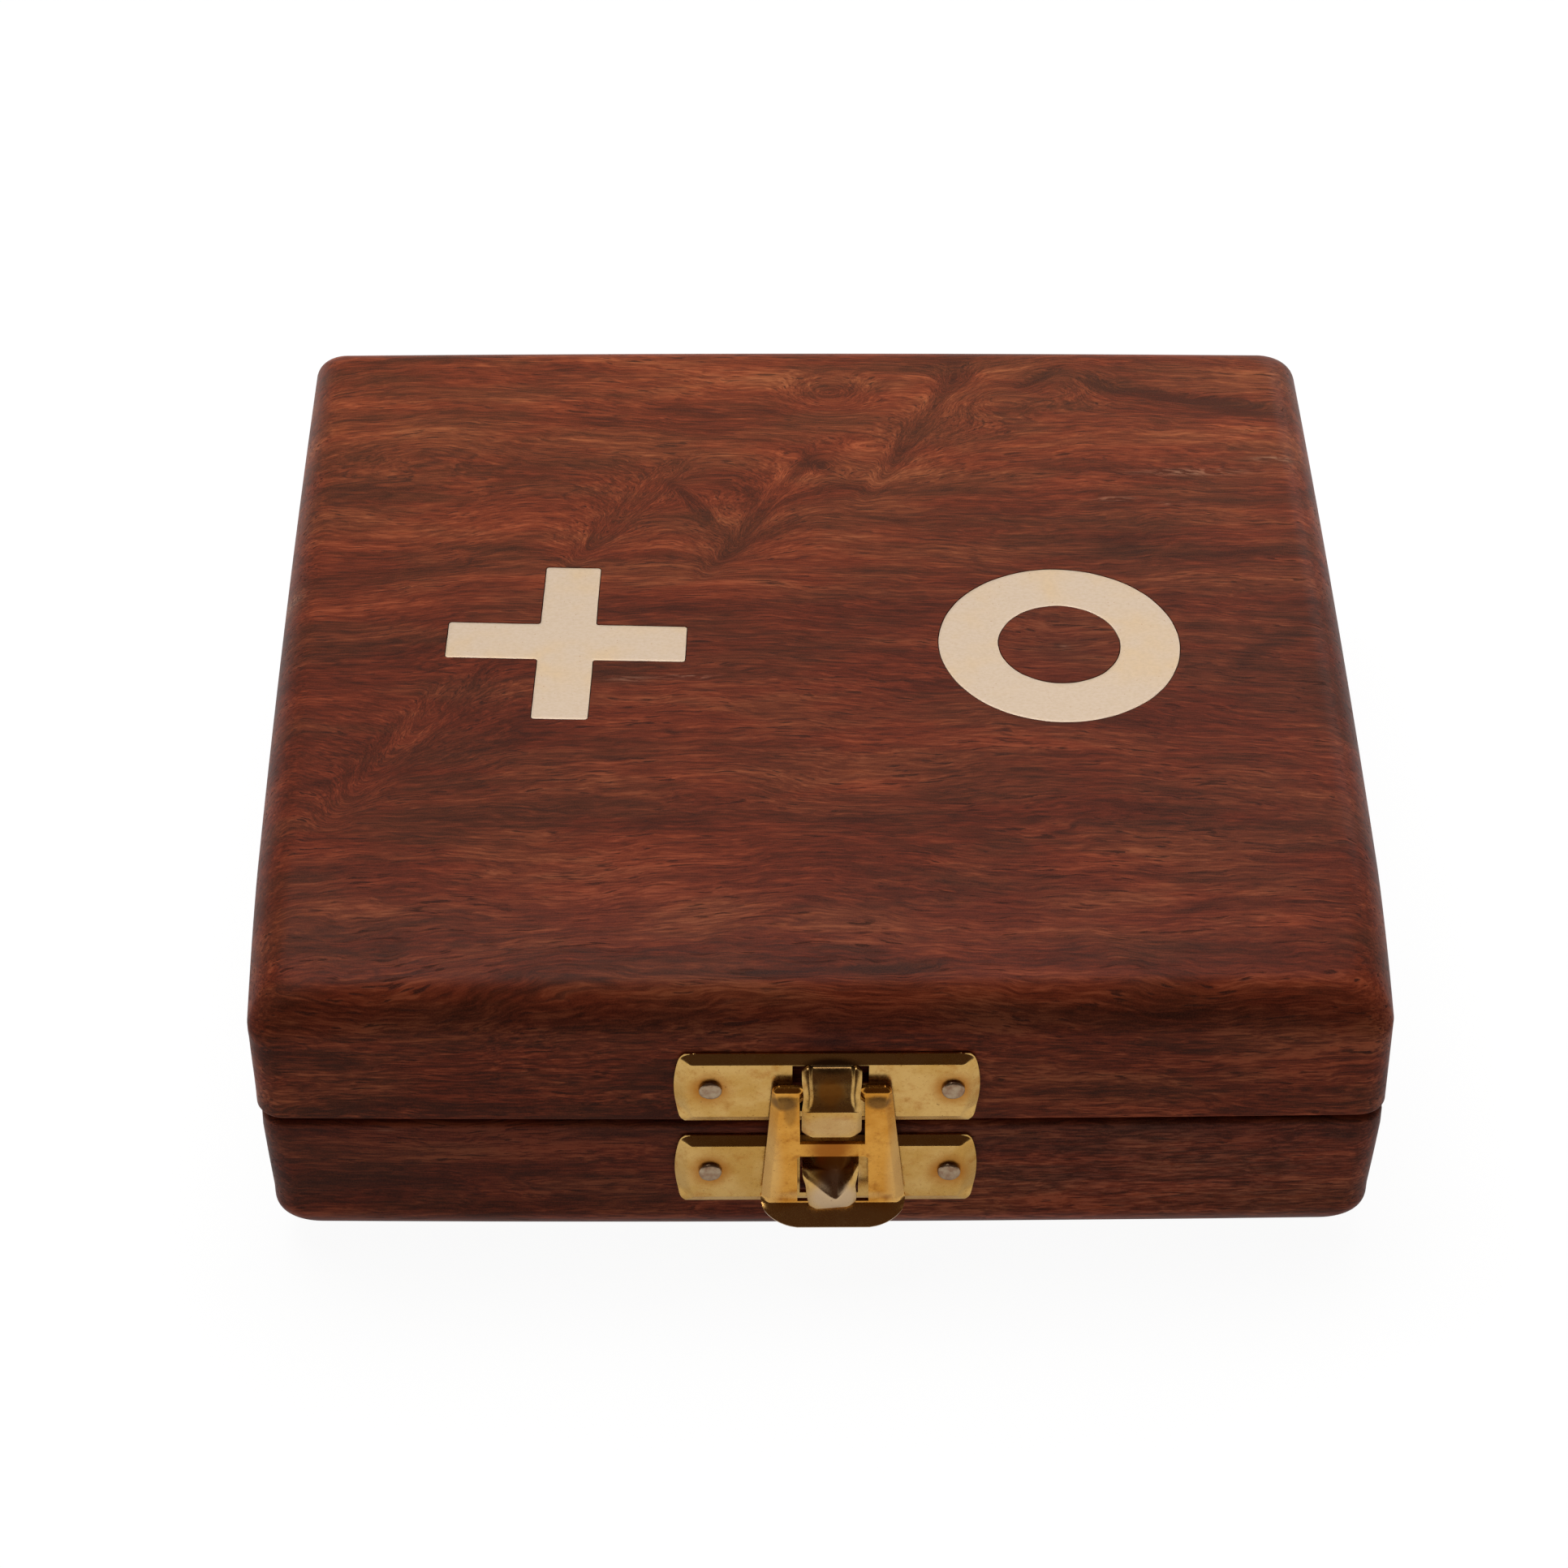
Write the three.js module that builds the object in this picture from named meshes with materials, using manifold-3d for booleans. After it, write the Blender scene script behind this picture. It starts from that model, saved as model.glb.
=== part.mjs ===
// A small wooden game box for noughts and crosses, shut and fastened. The lid and the base are
// each carved from one block. Lengths are in millimetres: X runs to the right, Y to the back,
// Z up, and the origin is the centre of the underside.

import * as THREE from 'three';
import { mergeVertices } from 'three/addons/utils/BufferGeometryUtils.js';
import Module from 'manifold-3d';

const wasm = await Module();
wasm.setup();

// Wooden box
const boxWidth = 120.65;
const boxDepth = 120.65;
const boxHeight = 38.1;
const lidHeight = 19.5;
const lidShift = -0.3;
const baseStep = 0.5;
const seamGap = 0.3;
const wallThickness = 7;
const lidTopThickness = 6.5;
const floorThickness = 4;
const cornerRadius = 3;
const sideBow = 0.45;
const lidEdgeRadius = 4;
const baseEdgeRadius = 7.9;
const seamEdgeRadius = 1.2;
const hollowCornerRadius = 3;

// Brass inlays in the lid
const inlaySize = 27.6;
const inlaySpacing = 55.6;
const inlayOffset = -1.3;
const inlayThickness = 1.2;
const inlayClearance = 0.1;
const crossArmWidth = 6.4;
const crossCornerRadius = 0.4;
const crossTurn = THREE.MathUtils.degToRad(-2);
const ringHoleDiameter = 14;
const pilotRadius = 0.6;
const pilotDepth = 0.4;

// Slats and playing pieces
const slatThickness = 3;
const slatHeight = 12;
const slatClearance = 0.15;
const pieceMargin = 3.25;
const pieceThickness = 6;
const pieceChamfer = 0.6;
const pieceArmShare = 0.28;
const pieceHoleShare = 0.44;

// Latch, placed as seen from the front
const latchOffset = 0.6;
const sheetThickness = 0.6;
const plateWidth = 32;
const plateHeight = 8.9;
const plateRise = 1.1;
const plateRim = 0.3;
const plateBevel = 0.85;
const plateEndBow = 1;
const plateCorner = 0.8;
const upperPlateLift = 1.9;
const lowerPlateDrop = 0.75;
const latchPinSpacing = 25.4;

// Tongue of the upper plate
const tongueWidth = 6.2;
const tongueSheet = 0.65;
const tongueLength = 7.9;
const tongueFaceLength = 3.7;
const tongueShoulder = 1;
const tongueClearance = 0.35;
const tongueDish = 0.22;
const reliefWidth = 0.8;
const reliefHeight = 2.4;
const rootSetback = 0.15;

// Flap that swings on the tongue
const flapGap = 0.6;
const flapRise = 1.2;
const flapBevel = 0.6;
const flapTopBevel = 1.1;
const axisLift = 0.55;
const flapAboveAxis = 0.8;
const flapArmTop = 2.75;
const flapArmBottom = 3.95;
const flapCorner = 0.9;
const barDepth = 0.6;
const barHeight = 1.6;
const crossbarHeight = 1.7;
const windowClearance = 0.35;
const lipReach = 2;
const lipDrop = 1.9;
const lipTaper = 2.1;
const lipCorner = 1.4;

// Hook of the lower plate
const hookWidth = 5.9;
const hookTaper = 0.25;
const hookThickness = 1.3;
const hookReach = 1.5;
const hookLength = 5.8;
const hookShoulder = 1;
const hookCorner = 0.7;
const dartDrop = 4.5;
const dartStandOff = 0.15;
const dartHalfAngle = THREE.MathUtils.degToRad(36);
const dartTilt = THREE.MathUtils.degToRad(24);

// Latch pins
const pinHeadRadius = 1.2;
const pinHeadHeight = 0.55;
const pinShankRadius = 0.6;
const pinLength = 5;

// Hinges
const hingeInset = 26.3;
const hingeLength = 19;
const leafHeight = 9;
const leafThickness = 0.9;
const leafCorner = 1;
const knuckleRadius = 1.5;
const knuckleStandOff = 0.1;
const knuckleCount = 5;
const knuckleGap = 0.3;
const hingePinRadius = 0.7;
const hingePinClearance = 0.15;
const hingeSwingClearance = 0.35;
const nailSpacing = 11;
const nailHeight = 5.5;
const nailHeadRadius = 1.3;
const nailHeadHeight = 0.45;
const nailShankRadius = 0.55;
const nailLength = 5;
const shankClearance = 0.2;

// How far a cutter reaches past the piece it cuts
const overrun = 1;

// Steps on round forms
const planSteps = 6;
const edgeSteps = 6;
const bendSteps = 4;
const roundSides = 48;
const knuckleSides = 20;
const shankSides = 10;

// What follows from the sizes above
const seamHeight = boxHeight - lidHeight;
const lidBottom = seamHeight + seamGap / 2;
const baseTop = seamHeight - seamGap / 2;
const hollowWidth = boxWidth - 2 * wallThickness;
const hollowDepth = boxDepth - 2 * wallThickness;
const lidCeiling = boxHeight - lidTopThickness;
const cellWidth = (hollowWidth - 2 * slatThickness) / 3;
const cellDepth = (hollowDepth - 2 * slatThickness) / 3;
const cellPitchX = cellWidth + slatThickness;
const cellPitchY = cellDepth + slatThickness;
const pieceSize = Math.min(cellWidth, cellDepth) - 2 * pieceMargin;
const upperPlateY = seamHeight + upperPlateLift + plateHeight / 2;
const lowerPlateY = seamHeight - lowerPlateDrop - plateHeight / 2;
const flapBack = plateRise + flapGap;
const flapFront = flapBack + flapRise;
const axisHeight = upperPlateY + axisLift;

// The wood of lid and base, the brass and the steel
const rosewood = { color: 0x6b2413, roughness: 0.42, metalness: 0 };
const darkWood = { color: 0x5a2113, roughness: 0.5, metalness: 0 };
const paleWood = { color: 0xb98a55, roughness: 0.5, metalness: 0 };
const inlayBrass = { color: 0xddc7a5, roughness: 0.32, metalness: 1 };
const latchBrass = { color: 0xd0a548, roughness: 0.25, metalness: 1 };
const hingeBrass = { color: 0xc59a45, roughness: 0.35, metalness: 1 };
const steel = { color: 0x9c958d, roughness: 0.35, metalness: 1 };

// Turns that swap axes exactly: a rod's length to Z, and drawings on the front and the back
const axisX = new THREE.Vector3(1, 0, 0);
const axisY = new THREE.Vector3(0, 1, 0);
const axisZ = new THREE.Vector3(0, 0, 1);
const lengthToZ = new THREE.Matrix4().makeBasis(axisX, axisZ, axisY.clone().negate());
const profileAcross = new THREE.Matrix4().makeBasis(axisZ, axisY, axisX.clone().negate());
const ontoFront = lengthToZ.clone().setPosition(latchOffset, -boxDepth / 2, 0);
const ontoBack = new THREE.Matrix4().makeBasis(axisX.clone().negate(), axisZ, axisY)
  .setPosition(0, boxDepth / 2, 0);

// A closed geometry as a solid that can be joined and cut
function solid(geometry) {
  const bare = new THREE.BufferGeometry();
  bare.setAttribute('position', geometry.getAttribute('position'));
  bare.setIndex(geometry.getIndex());
  const merged = mergeVertices(bare);
  return new wasm.Manifold(new wasm.Mesh({
    numProp: 3,
    vertProperties: new Float32Array(merged.getAttribute('position').array),
    triVerts: new Uint32Array(merged.getIndex().array),
  }));
}

// A solid as a geometry again
function geometryOf(body) {
  const mesh = body.getMesh();
  const geometry = new THREE.BufferGeometry();
  geometry.setAttribute('position', new THREE.BufferAttribute(mesh.vertProperties, 3));
  geometry.setIndex(new THREE.BufferAttribute(mesh.triVerts, 1));
  geometry.computeVertexNormals();
  return geometry;
}

// The points of a closed outline, anticlockwise, with the first point not said twice
function outlineOf(shape, steps) {
  const points = shape.getPoints(steps);
  if (points[0].distanceTo(points[points.length - 1]) < Number.EPSILON) points.pop();
  return THREE.ShapeUtils.isClockWise(points) ? points.reverse() : points;
}

// A closed skin through outlines of equally many points, each at its own height
function loft(rings) {
  const count = rings[0].outline.length;
  const vertices = rings.flatMap(({ outline, z }) => outline.flatMap((point) => [point.x, point.y, z]));
  const faces = [];
  for (let ring = 0; ring < rings.length - 1; ring += 1) {
    for (let i = 0; i < count; i += 1) {
      const here = ring * count + i;
      const next = ring * count + (i + 1) % count;
      faces.push(here, next, next + count, here, next + count, here + count);
    }
  }
  const last = (rings.length - 1) * count;
  for (const [a, b, c] of THREE.ShapeUtils.triangulateShape(rings[0].outline, [])) faces.push(c, b, a);
  for (const [a, b, c] of THREE.ShapeUtils.triangulateShape(rings[rings.length - 1].outline, [])) {
    faces.push(last + a, last + b, last + c);
  }
  const geometry = new THREE.BufferGeometry();
  geometry.setAttribute('position', new THREE.Float32BufferAttribute(vertices, 3));
  geometry.setIndex(faces);
  return geometry;
}

// A rectangle with round corners about the origin
function roundedRectangle(width, height, radius) {
  const x = width / 2 - radius;
  const y = height / 2 - radius;
  const shape = new THREE.Shape();
  shape.absarc(x, y, radius, 0, Math.PI / 2);
  shape.absarc(-x, y, radius, Math.PI / 2, Math.PI);
  shape.absarc(-x, -y, radius, Math.PI, Math.PI * 3 / 2);
  shape.absarc(x, -y, radius, Math.PI * 3 / 2, Math.PI * 2);
  return shape;
}

// The plan of the box: its corners are round and the middle of each side stands proud by the bow
function bowedPlan(width, depth) {
  const x = width / 2 - sideBow - cornerRadius;
  const y = depth / 2 - sideBow - cornerRadius;
  const shape = new THREE.Shape();
  shape.absarc(x, y, cornerRadius, 0, Math.PI / 2);
  shape.quadraticCurveTo(0, depth / 2 + sideBow, -x, y + cornerRadius);
  shape.absarc(-x, y, cornerRadius, Math.PI / 2, Math.PI);
  shape.quadraticCurveTo(-width / 2 - sideBow, 0, -x - cornerRadius, -y);
  shape.absarc(-x, -y, cornerRadius, Math.PI, Math.PI * 3 / 2);
  shape.quadraticCurveTo(0, -depth / 2 - sideBow, x, -y - cornerRadius);
  shape.absarc(x, -y, cornerRadius, Math.PI * 3 / 2, Math.PI * 2);
  shape.quadraticCurveTo(width / 2 + sideBow, 0, x + cornerRadius, y);
  return shape;
}

// A closed outline through corners, each cut round by the same bend
function roundedPolygon(corners, bend) {
  const shape = new THREE.Shape();
  corners.forEach((corner, i) => {
    const before = corners[(i + corners.length - 1) % corners.length];
    const after = corners[(i + 1) % corners.length];
    const enter = before.clone().sub(corner).setLength(bend).add(corner);
    const leave = after.clone().sub(corner).setLength(bend).add(corner);
    if (i === 0) shape.moveTo(enter.x, enter.y);
    else shape.lineTo(enter.x, enter.y);
    shape.quadraticCurveTo(corner.x, corner.y, leave.x, leave.y);
  });
  return shape;
}

// A strip of sheet seen from its edge: it follows the corners and is bent round at each
function bentStrip(corners, bend, thickness) {
  const path = new THREE.Path().moveTo(corners[0].x, corners[0].y);
  for (let i = 1; i < corners.length - 1; i += 1) {
    const enter = corners[i - 1].clone().sub(corners[i]).setLength(bend).add(corners[i]);
    const leave = corners[i + 1].clone().sub(corners[i]).setLength(bend).add(corners[i]);
    path.lineTo(enter.x, enter.y).quadraticCurveTo(corners[i].x, corners[i].y, leave.x, leave.y);
  }
  const end = corners[corners.length - 1];
  const spine = path.lineTo(end.x, end.y).getPoints(bendSteps);
  const edge = (side) => spine.map((point, i) => {
    const before = spine[Math.max(i - 1, 0)];
    const after = spine[Math.min(i + 1, spine.length - 1)];
    const along = after.clone().sub(before).setLength(side * thickness / 2);
    return new THREE.Vector2(point.x - along.y, point.y + along.x);
  });
  return new THREE.Shape([...edge(1), ...edge(-1).reverse()]);
}

// A flat shape made thick along Z, from one height to another
function extruded(shape, from, to) {
  return new THREE.ExtrudeGeometry(shape, { depth: to - from, bevelEnabled: false, curveSegments: bendSteps })
    .translate(0, 0, from);
}

// A profile drawn as (out of the box, up), made as wide as asked across the front
function acrossFront(shape, width) {
  return extruded(shape, -width / 2, width / 2).applyMatrix4(profileAcross);
}

// A round rod along Z
function rod(radius, from, to, sides) {
  return new THREE.CylinderGeometry(radius, radius, to - from, sides)
    .applyMatrix4(lengthToZ)
    .translate(0, 0, (from + to) / 2);
}

// A box between two corners
function block(low, high) {
  const size = high.clone().sub(low);
  const middle = high.clone().add(low).multiplyScalar(1 / 2);
  return new THREE.BoxGeometry(size.x, size.y, size.z).translate(middle.x, middle.y, middle.z);
}

// A block of wood whose lower and upper edges are sanded round
function sandedBlock(width, depth, bottom, top, lowerRadius, upperRadius) {
  const rings = [];
  const addRing = (inset, z) => {
    const plan = bowedPlan(width - 2 * inset, depth - 2 * inset);
    rings.push({ outline: outlineOf(plan, planSteps), z });
  };
  for (let step = 0; step <= edgeSteps; step += 1) {
    const turn = step / edgeSteps * Math.PI / 2;
    addRing(lowerRadius * (1 - Math.sin(turn)), bottom + lowerRadius * (1 - Math.cos(turn)));
  }
  for (let step = 0; step <= edgeSteps; step += 1) {
    const turn = step / edgeSteps * Math.PI / 2;
    addRing(upperRadius * (1 - Math.cos(turn)), top - upperRadius * (1 - Math.sin(turn)));
  }
  return loft(rings);
}

// The hollow that both halves share in plan
function hollow(from, to) {
  return extruded(roundedRectangle(hollowWidth, hollowDepth, hollowCornerRadius), from, to);
}

// An upright cross with equal arms, grown on all sides by a clearance
function crossShape(size, arm, bend, grow) {
  const reach = size / 2 + grow;
  const half = arm / 2 + grow;
  const corners = [[half, -reach], [half, -half], [reach, -half], [reach, half], [half, half], [half, reach],
    [-half, reach], [-half, half], [-reach, half], [-reach, -half], [-half, -half], [-half, -reach]];
  return roundedPolygon(corners.map(([x, y]) => new THREE.Vector2(x, y)), bend);
}

// The cross or ring let into the lid, or, grown by the clearance, the pocket for it
function inlayCross(from, to, grow) {
  const cross = crossShape(inlaySize, crossArmWidth, crossCornerRadius, grow);
  return extruded(cross, from, to)
    .rotateZ(crossTurn)
    .translate(lidShift - inlaySpacing / 2, inlayOffset, 0);
}
function inlayRing(from, to, grow) {
  const outer = inlaySize / 2 + grow;
  const inner = ringHoleDiameter / 2 - grow;
  const profile = [[inner, from], [outer, from], [outer, to], [inner, to], [inner, from]];
  return new THREE.LatheGeometry(profile.map(([r, h]) => new THREE.Vector2(r, h)), roundSides)
    .applyMatrix4(lengthToZ)
    .translate(lidShift + inlaySpacing / 2, inlayOffset, 0);
}

// The outline of a latch plate: straight long edges and bowed ends
function plateOutline(inset) {
  const halfWidth = plateWidth / 2 - inset;
  const halfHeight = plateHeight / 2 - inset;
  const shoulder = halfWidth - plateEndBow;
  const straight = shoulder - plateCorner;
  const shape = new THREE.Shape();
  shape.moveTo(-straight, -halfHeight);
  shape.lineTo(straight, -halfHeight);
  shape.bezierCurveTo(shoulder, -halfHeight, halfWidth, -halfHeight / 2, halfWidth, 0);
  shape.bezierCurveTo(halfWidth, halfHeight / 2, shoulder, halfHeight, straight, halfHeight);
  shape.lineTo(-straight, halfHeight);
  shape.bezierCurveTo(-shoulder, halfHeight, -halfWidth, halfHeight / 2, -halfWidth, 0);
  shape.bezierCurveTo(-halfWidth, -halfHeight / 2, -shoulder, -halfHeight, -straight, -halfHeight);
  return outlineOf(shape, bendSteps);
}

// A plate pressed from sheet: a shallow pan with bevelled edges and two pin holes
function pressedPlate() {
  const skin = solid(loft([
    { outline: plateOutline(0), z: 0 },
    { outline: plateOutline(0), z: plateRim },
    { outline: plateOutline(plateBevel), z: plateRise },
  ]));
  const inside = solid(loft([
    { outline: plateOutline(sheetThickness), z: -overrun },
    { outline: plateOutline(sheetThickness), z: 0 },
    { outline: plateOutline(plateBevel + sheetThickness), z: plateRise - sheetThickness },
  ]));
  return latchPinPlaces().reduce(
    (plate, x) => plate.subtract(solid(pinHole().translate(x, 0, 0))),
    skin.subtract(inside),
  );
}

function latchPinPlaces() {
  return [-latchPinSpacing / 2, latchPinSpacing / 2];
}

function pinHole() {
  return rod(pinShankRadius + shankClearance, -pinLength, plateRise + overrun, shankSides);
}

// The upper plate. A tongue is cut from it on three sides, raised, and bent down over the bar
// of the flap. Its middle is dished, and two relief cuts flank its root.
function upperPlate() {
  const rootHeight = plateHeight / 2 - plateBevel - rootSetback - tongueSheet / 2;
  const facePlane = flapFront + tongueClearance + tongueSheet / 2;
  const end = rootHeight - tongueLength + tongueSheet;
  const elbow = end + tongueFaceLength;
  const side = bentStrip([
    new THREE.Vector2(plateRise - sheetThickness / 2, rootHeight),
    new THREE.Vector2(plateRise + tongueShoulder, rootHeight),
    new THREE.Vector2(facePlane, elbow),
    new THREE.Vector2(facePlane, end),
  ], tongueSheet, tongueSheet);
  const half = tongueWidth / 2;
  const front = roundedPolygon([
    new THREE.Vector2(-half, end),
    new THREE.Vector2(half, end),
    new THREE.Vector2(half, rootHeight + tongueSheet),
    new THREE.Vector2(-half, rootHeight + tongueSheet),
  ], tongueSheet / 2);
  const reach = facePlane + tongueSheet + overrun;
  const dishLength = rootHeight - elbow;
  const lean = Math.atan2(facePlane - plateRise - tongueShoulder, dishLength);
  const dish = new THREE.SphereGeometry(1, 2 * shankSides, shankSides)
    .scale(half - tongueDish, dishLength / 2, 2 * tongueDish)
    .translate(0, 0, tongueSheet / 2 + tongueDish)
    .rotateX(-lean)
    .translate(0, (rootHeight + elbow) / 2, (facePlane + plateRise + tongueShoulder) / 2);
  const tongue = solid(acrossFront(side, tongueWidth))
    .intersect(solid(extruded(front, 0, reach)))
    .subtract(solid(dish));
  const cutHalf = half + reliefWidth;
  const behind = solid(block(
    new THREE.Vector3(-half - windowClearance, -plateHeight / 2 + plateBevel + sheetThickness, -overrun),
    new THREE.Vector3(half + windowClearance, rootHeight - tongueSheet / 4, plateRise + overrun),
  ));
  const relief = solid(block(
    new THREE.Vector3(-cutHalf, rootHeight - reliefHeight, -overrun),
    new THREE.Vector3(cutHalf, rootHeight + tongueSheet / 4, plateRise + overrun),
  ));
  const plate = pressedPlate().subtract(behind).subtract(relief);
  return geometryOf(plate.add(tongue)).translate(0, upperPlateY, 0);
}

// Where the hook stands, above the middle of the lower plate
const hookTop = plateHeight / 2 - plateBevel - rootSetback;
const hookEnd = hookTop - hookLength;
const hookFront = flapFront + hookReach;

// The lower plate. Its hook is raised from the sheet in the same way, reaches out through the
// lower window of the flap, and has a dart pressed into its bend to stiffen it.
function lowerPlate() {
  const facePlane = hookFront - hookThickness / 2;
  const rootHeight = hookTop - hookThickness / 2;
  const side = bentStrip([
    new THREE.Vector2(plateRise - sheetThickness / 2, rootHeight),
    new THREE.Vector2(facePlane - hookShoulder, rootHeight),
    new THREE.Vector2(facePlane, rootHeight - hookShoulder),
    new THREE.Vector2(facePlane, hookEnd),
  ], hookShoulder / 2, hookThickness);
  const top = hookWidth / 2;
  const bottom = top - hookTaper;
  const front = roundedPolygon([
    new THREE.Vector2(-bottom, hookEnd),
    new THREE.Vector2(bottom, hookEnd),
    new THREE.Vector2(top, hookTop + hookCorner),
    new THREE.Vector2(-top, hookTop + hookCorner),
  ], hookCorner);
  const dartHeight = hookLength + hookThickness;
  const dart = new THREE.ConeGeometry(dartHeight * Math.tan(dartHalfAngle), dartHeight, roundSides / 2)
    .translate(0, -dartHeight / 2, 0)
    .rotateX(Math.PI + dartTilt)
    .translate(0, hookTop - dartDrop, hookFront + dartStandOff);
  const hook = solid(acrossFront(side, hookWidth))
    .intersect(solid(extruded(front, 0, hookFront + overrun)))
    .subtract(solid(dart));
  const half = hookWidth / 2 + windowClearance;
  const behind = solid(block(
    new THREE.Vector3(-half, -plateHeight / 2 + plateBevel + sheetThickness, -overrun),
    new THREE.Vector3(half, rootHeight, plateRise + overrun),
  ));
  return geometryOf(pressedPlate().subtract(behind).add(hook)).translate(0, lowerPlateY, 0);
}

// The flap. Its pan is pressed from sheet with slanting sides, an upper window lets the tongue
// through and leaves the bar that it turns on, a lower window goes over the hook, and the
// bottom edge is flared out into a lip for the finger.
function flap() {
  const top = axisHeight + flapAboveAxis;
  const tongueHalf = tongueWidth / 2 + windowClearance;
  const hookHalf = hookWidth / 2 + 2 * windowClearance;
  const lowerWindowTop = lowerPlateY + hookTop + windowClearance;
  const lowerWindowBottom = lowerPlateY + hookEnd - windowClearance;
  const upperWindowBottom = lowerWindowTop + crossbarHeight;
  const upperWindowTop = top - barHeight;
  const topHalf = tongueHalf + flapArmTop;
  const bottomHalf = hookHalf + flapArmBottom;
  const panOutline = (sideInset, topInset, bottom) => {
    const x = bottomHalf - sideInset;
    const corners = [[-x, bottom], [x, bottom], [topHalf - sideInset, top - topInset],
      [sideInset - topHalf, top - topInset]];
    return outlineOf(roundedPolygon(corners.map(([u, v]) => new THREE.Vector2(u, v)), flapCorner), bendSteps);
  };
  const skin = solid(loft([
    { outline: panOutline(0, 0, lowerWindowBottom - flapCorner), z: flapBack },
    { outline: panOutline(0, 0, lowerWindowBottom - flapCorner), z: flapBack + plateRim },
    { outline: panOutline(flapBevel, flapTopBevel, lowerWindowBottom - flapCorner), z: flapFront },
  ])).subtract(solid(block(
    new THREE.Vector3(-bottomHalf, lowerWindowBottom - flapCorner - overrun, flapBack - overrun),
    new THREE.Vector3(bottomHalf, lowerWindowBottom - sheetThickness / 2, flapFront + overrun),
  )));
  const low = lowerWindowBottom - 2 * flapCorner;
  const inside = solid(loft([
    { outline: panOutline(sheetThickness, sheetThickness, low), z: flapBack - overrun },
    { outline: panOutline(sheetThickness, sheetThickness, low), z: flapBack },
    {
      outline: panOutline(flapBevel + sheetThickness, flapTopBevel + sheetThickness / 2, low),
      z: flapFront - sheetThickness,
    },
  ]));
  const sheetPlane = flapFront - sheetThickness / 2;
  const lipSide = bentStrip([
    new THREE.Vector2(sheetPlane, lowerWindowBottom + flapCorner),
    new THREE.Vector2(sheetPlane, lowerWindowBottom),
    new THREE.Vector2(sheetPlane + lipReach, lowerWindowBottom - lipDrop),
  ], sheetThickness, sheetThickness);
  const lipHalf = bottomHalf - flapBevel;
  const lipFront = roundedPolygon([
    new THREE.Vector2(-lipHalf, lowerWindowBottom + 2 * lipCorner),
    new THREE.Vector2(-lipHalf, lowerWindowBottom - lipDrop / 3),
    new THREE.Vector2(lipTaper - lipHalf, lowerWindowBottom - lipDrop - sheetThickness / 2),
    new THREE.Vector2(lipHalf - lipTaper, lowerWindowBottom - lipDrop - sheetThickness / 2),
    new THREE.Vector2(lipHalf, lowerWindowBottom - lipDrop / 3),
    new THREE.Vector2(lipHalf, lowerWindowBottom + 2 * lipCorner),
  ], Math.min(lipCorner, lipDrop / 2));
  const lip = solid(acrossFront(lipSide, 2 * bottomHalf))
    .intersect(solid(extruded(lipFront, 0, flapFront + lipReach + overrun)));
  const cuts = [
    block(
      new THREE.Vector3(-tongueHalf, upperWindowBottom, flapBack - overrun),
      new THREE.Vector3(tongueHalf, upperWindowTop, flapFront + overrun),
    ),
    block(
      new THREE.Vector3(-tongueHalf, upperWindowBottom, flapBack + barDepth),
      new THREE.Vector3(tongueHalf, top + overrun, flapFront + overrun),
    ),
    block(
      new THREE.Vector3(-hookHalf, lowerWindowBottom, flapBack - overrun),
      new THREE.Vector3(hookHalf, lowerWindowTop, flapFront + overrun),
    ),
  ];
  return geometryOf(cuts.reduce((left, cut) => left.subtract(solid(cut)), skin.subtract(inside).add(lip)));
}

// A pin or nail along Z: a slightly domed head on its seat and a shank behind it
function nail(headRadius, headHeight, shankRadius, length, seat) {
  const profile = [
    [0, seat - length],
    [shankRadius, seat - length],
    [shankRadius, seat],
    [headRadius, seat],
    [headRadius, seat + headHeight / 2],
    [headRadius * 3 / 4, seat + headHeight],
    [0, seat + headHeight],
  ];
  const turned = new THREE.LatheGeometry(profile.map(([r, h]) => new THREE.Vector2(r, h)), shankSides)
    .applyMatrix4(lengthToZ);
  return geometryOf(solid(turned));
}

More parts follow.
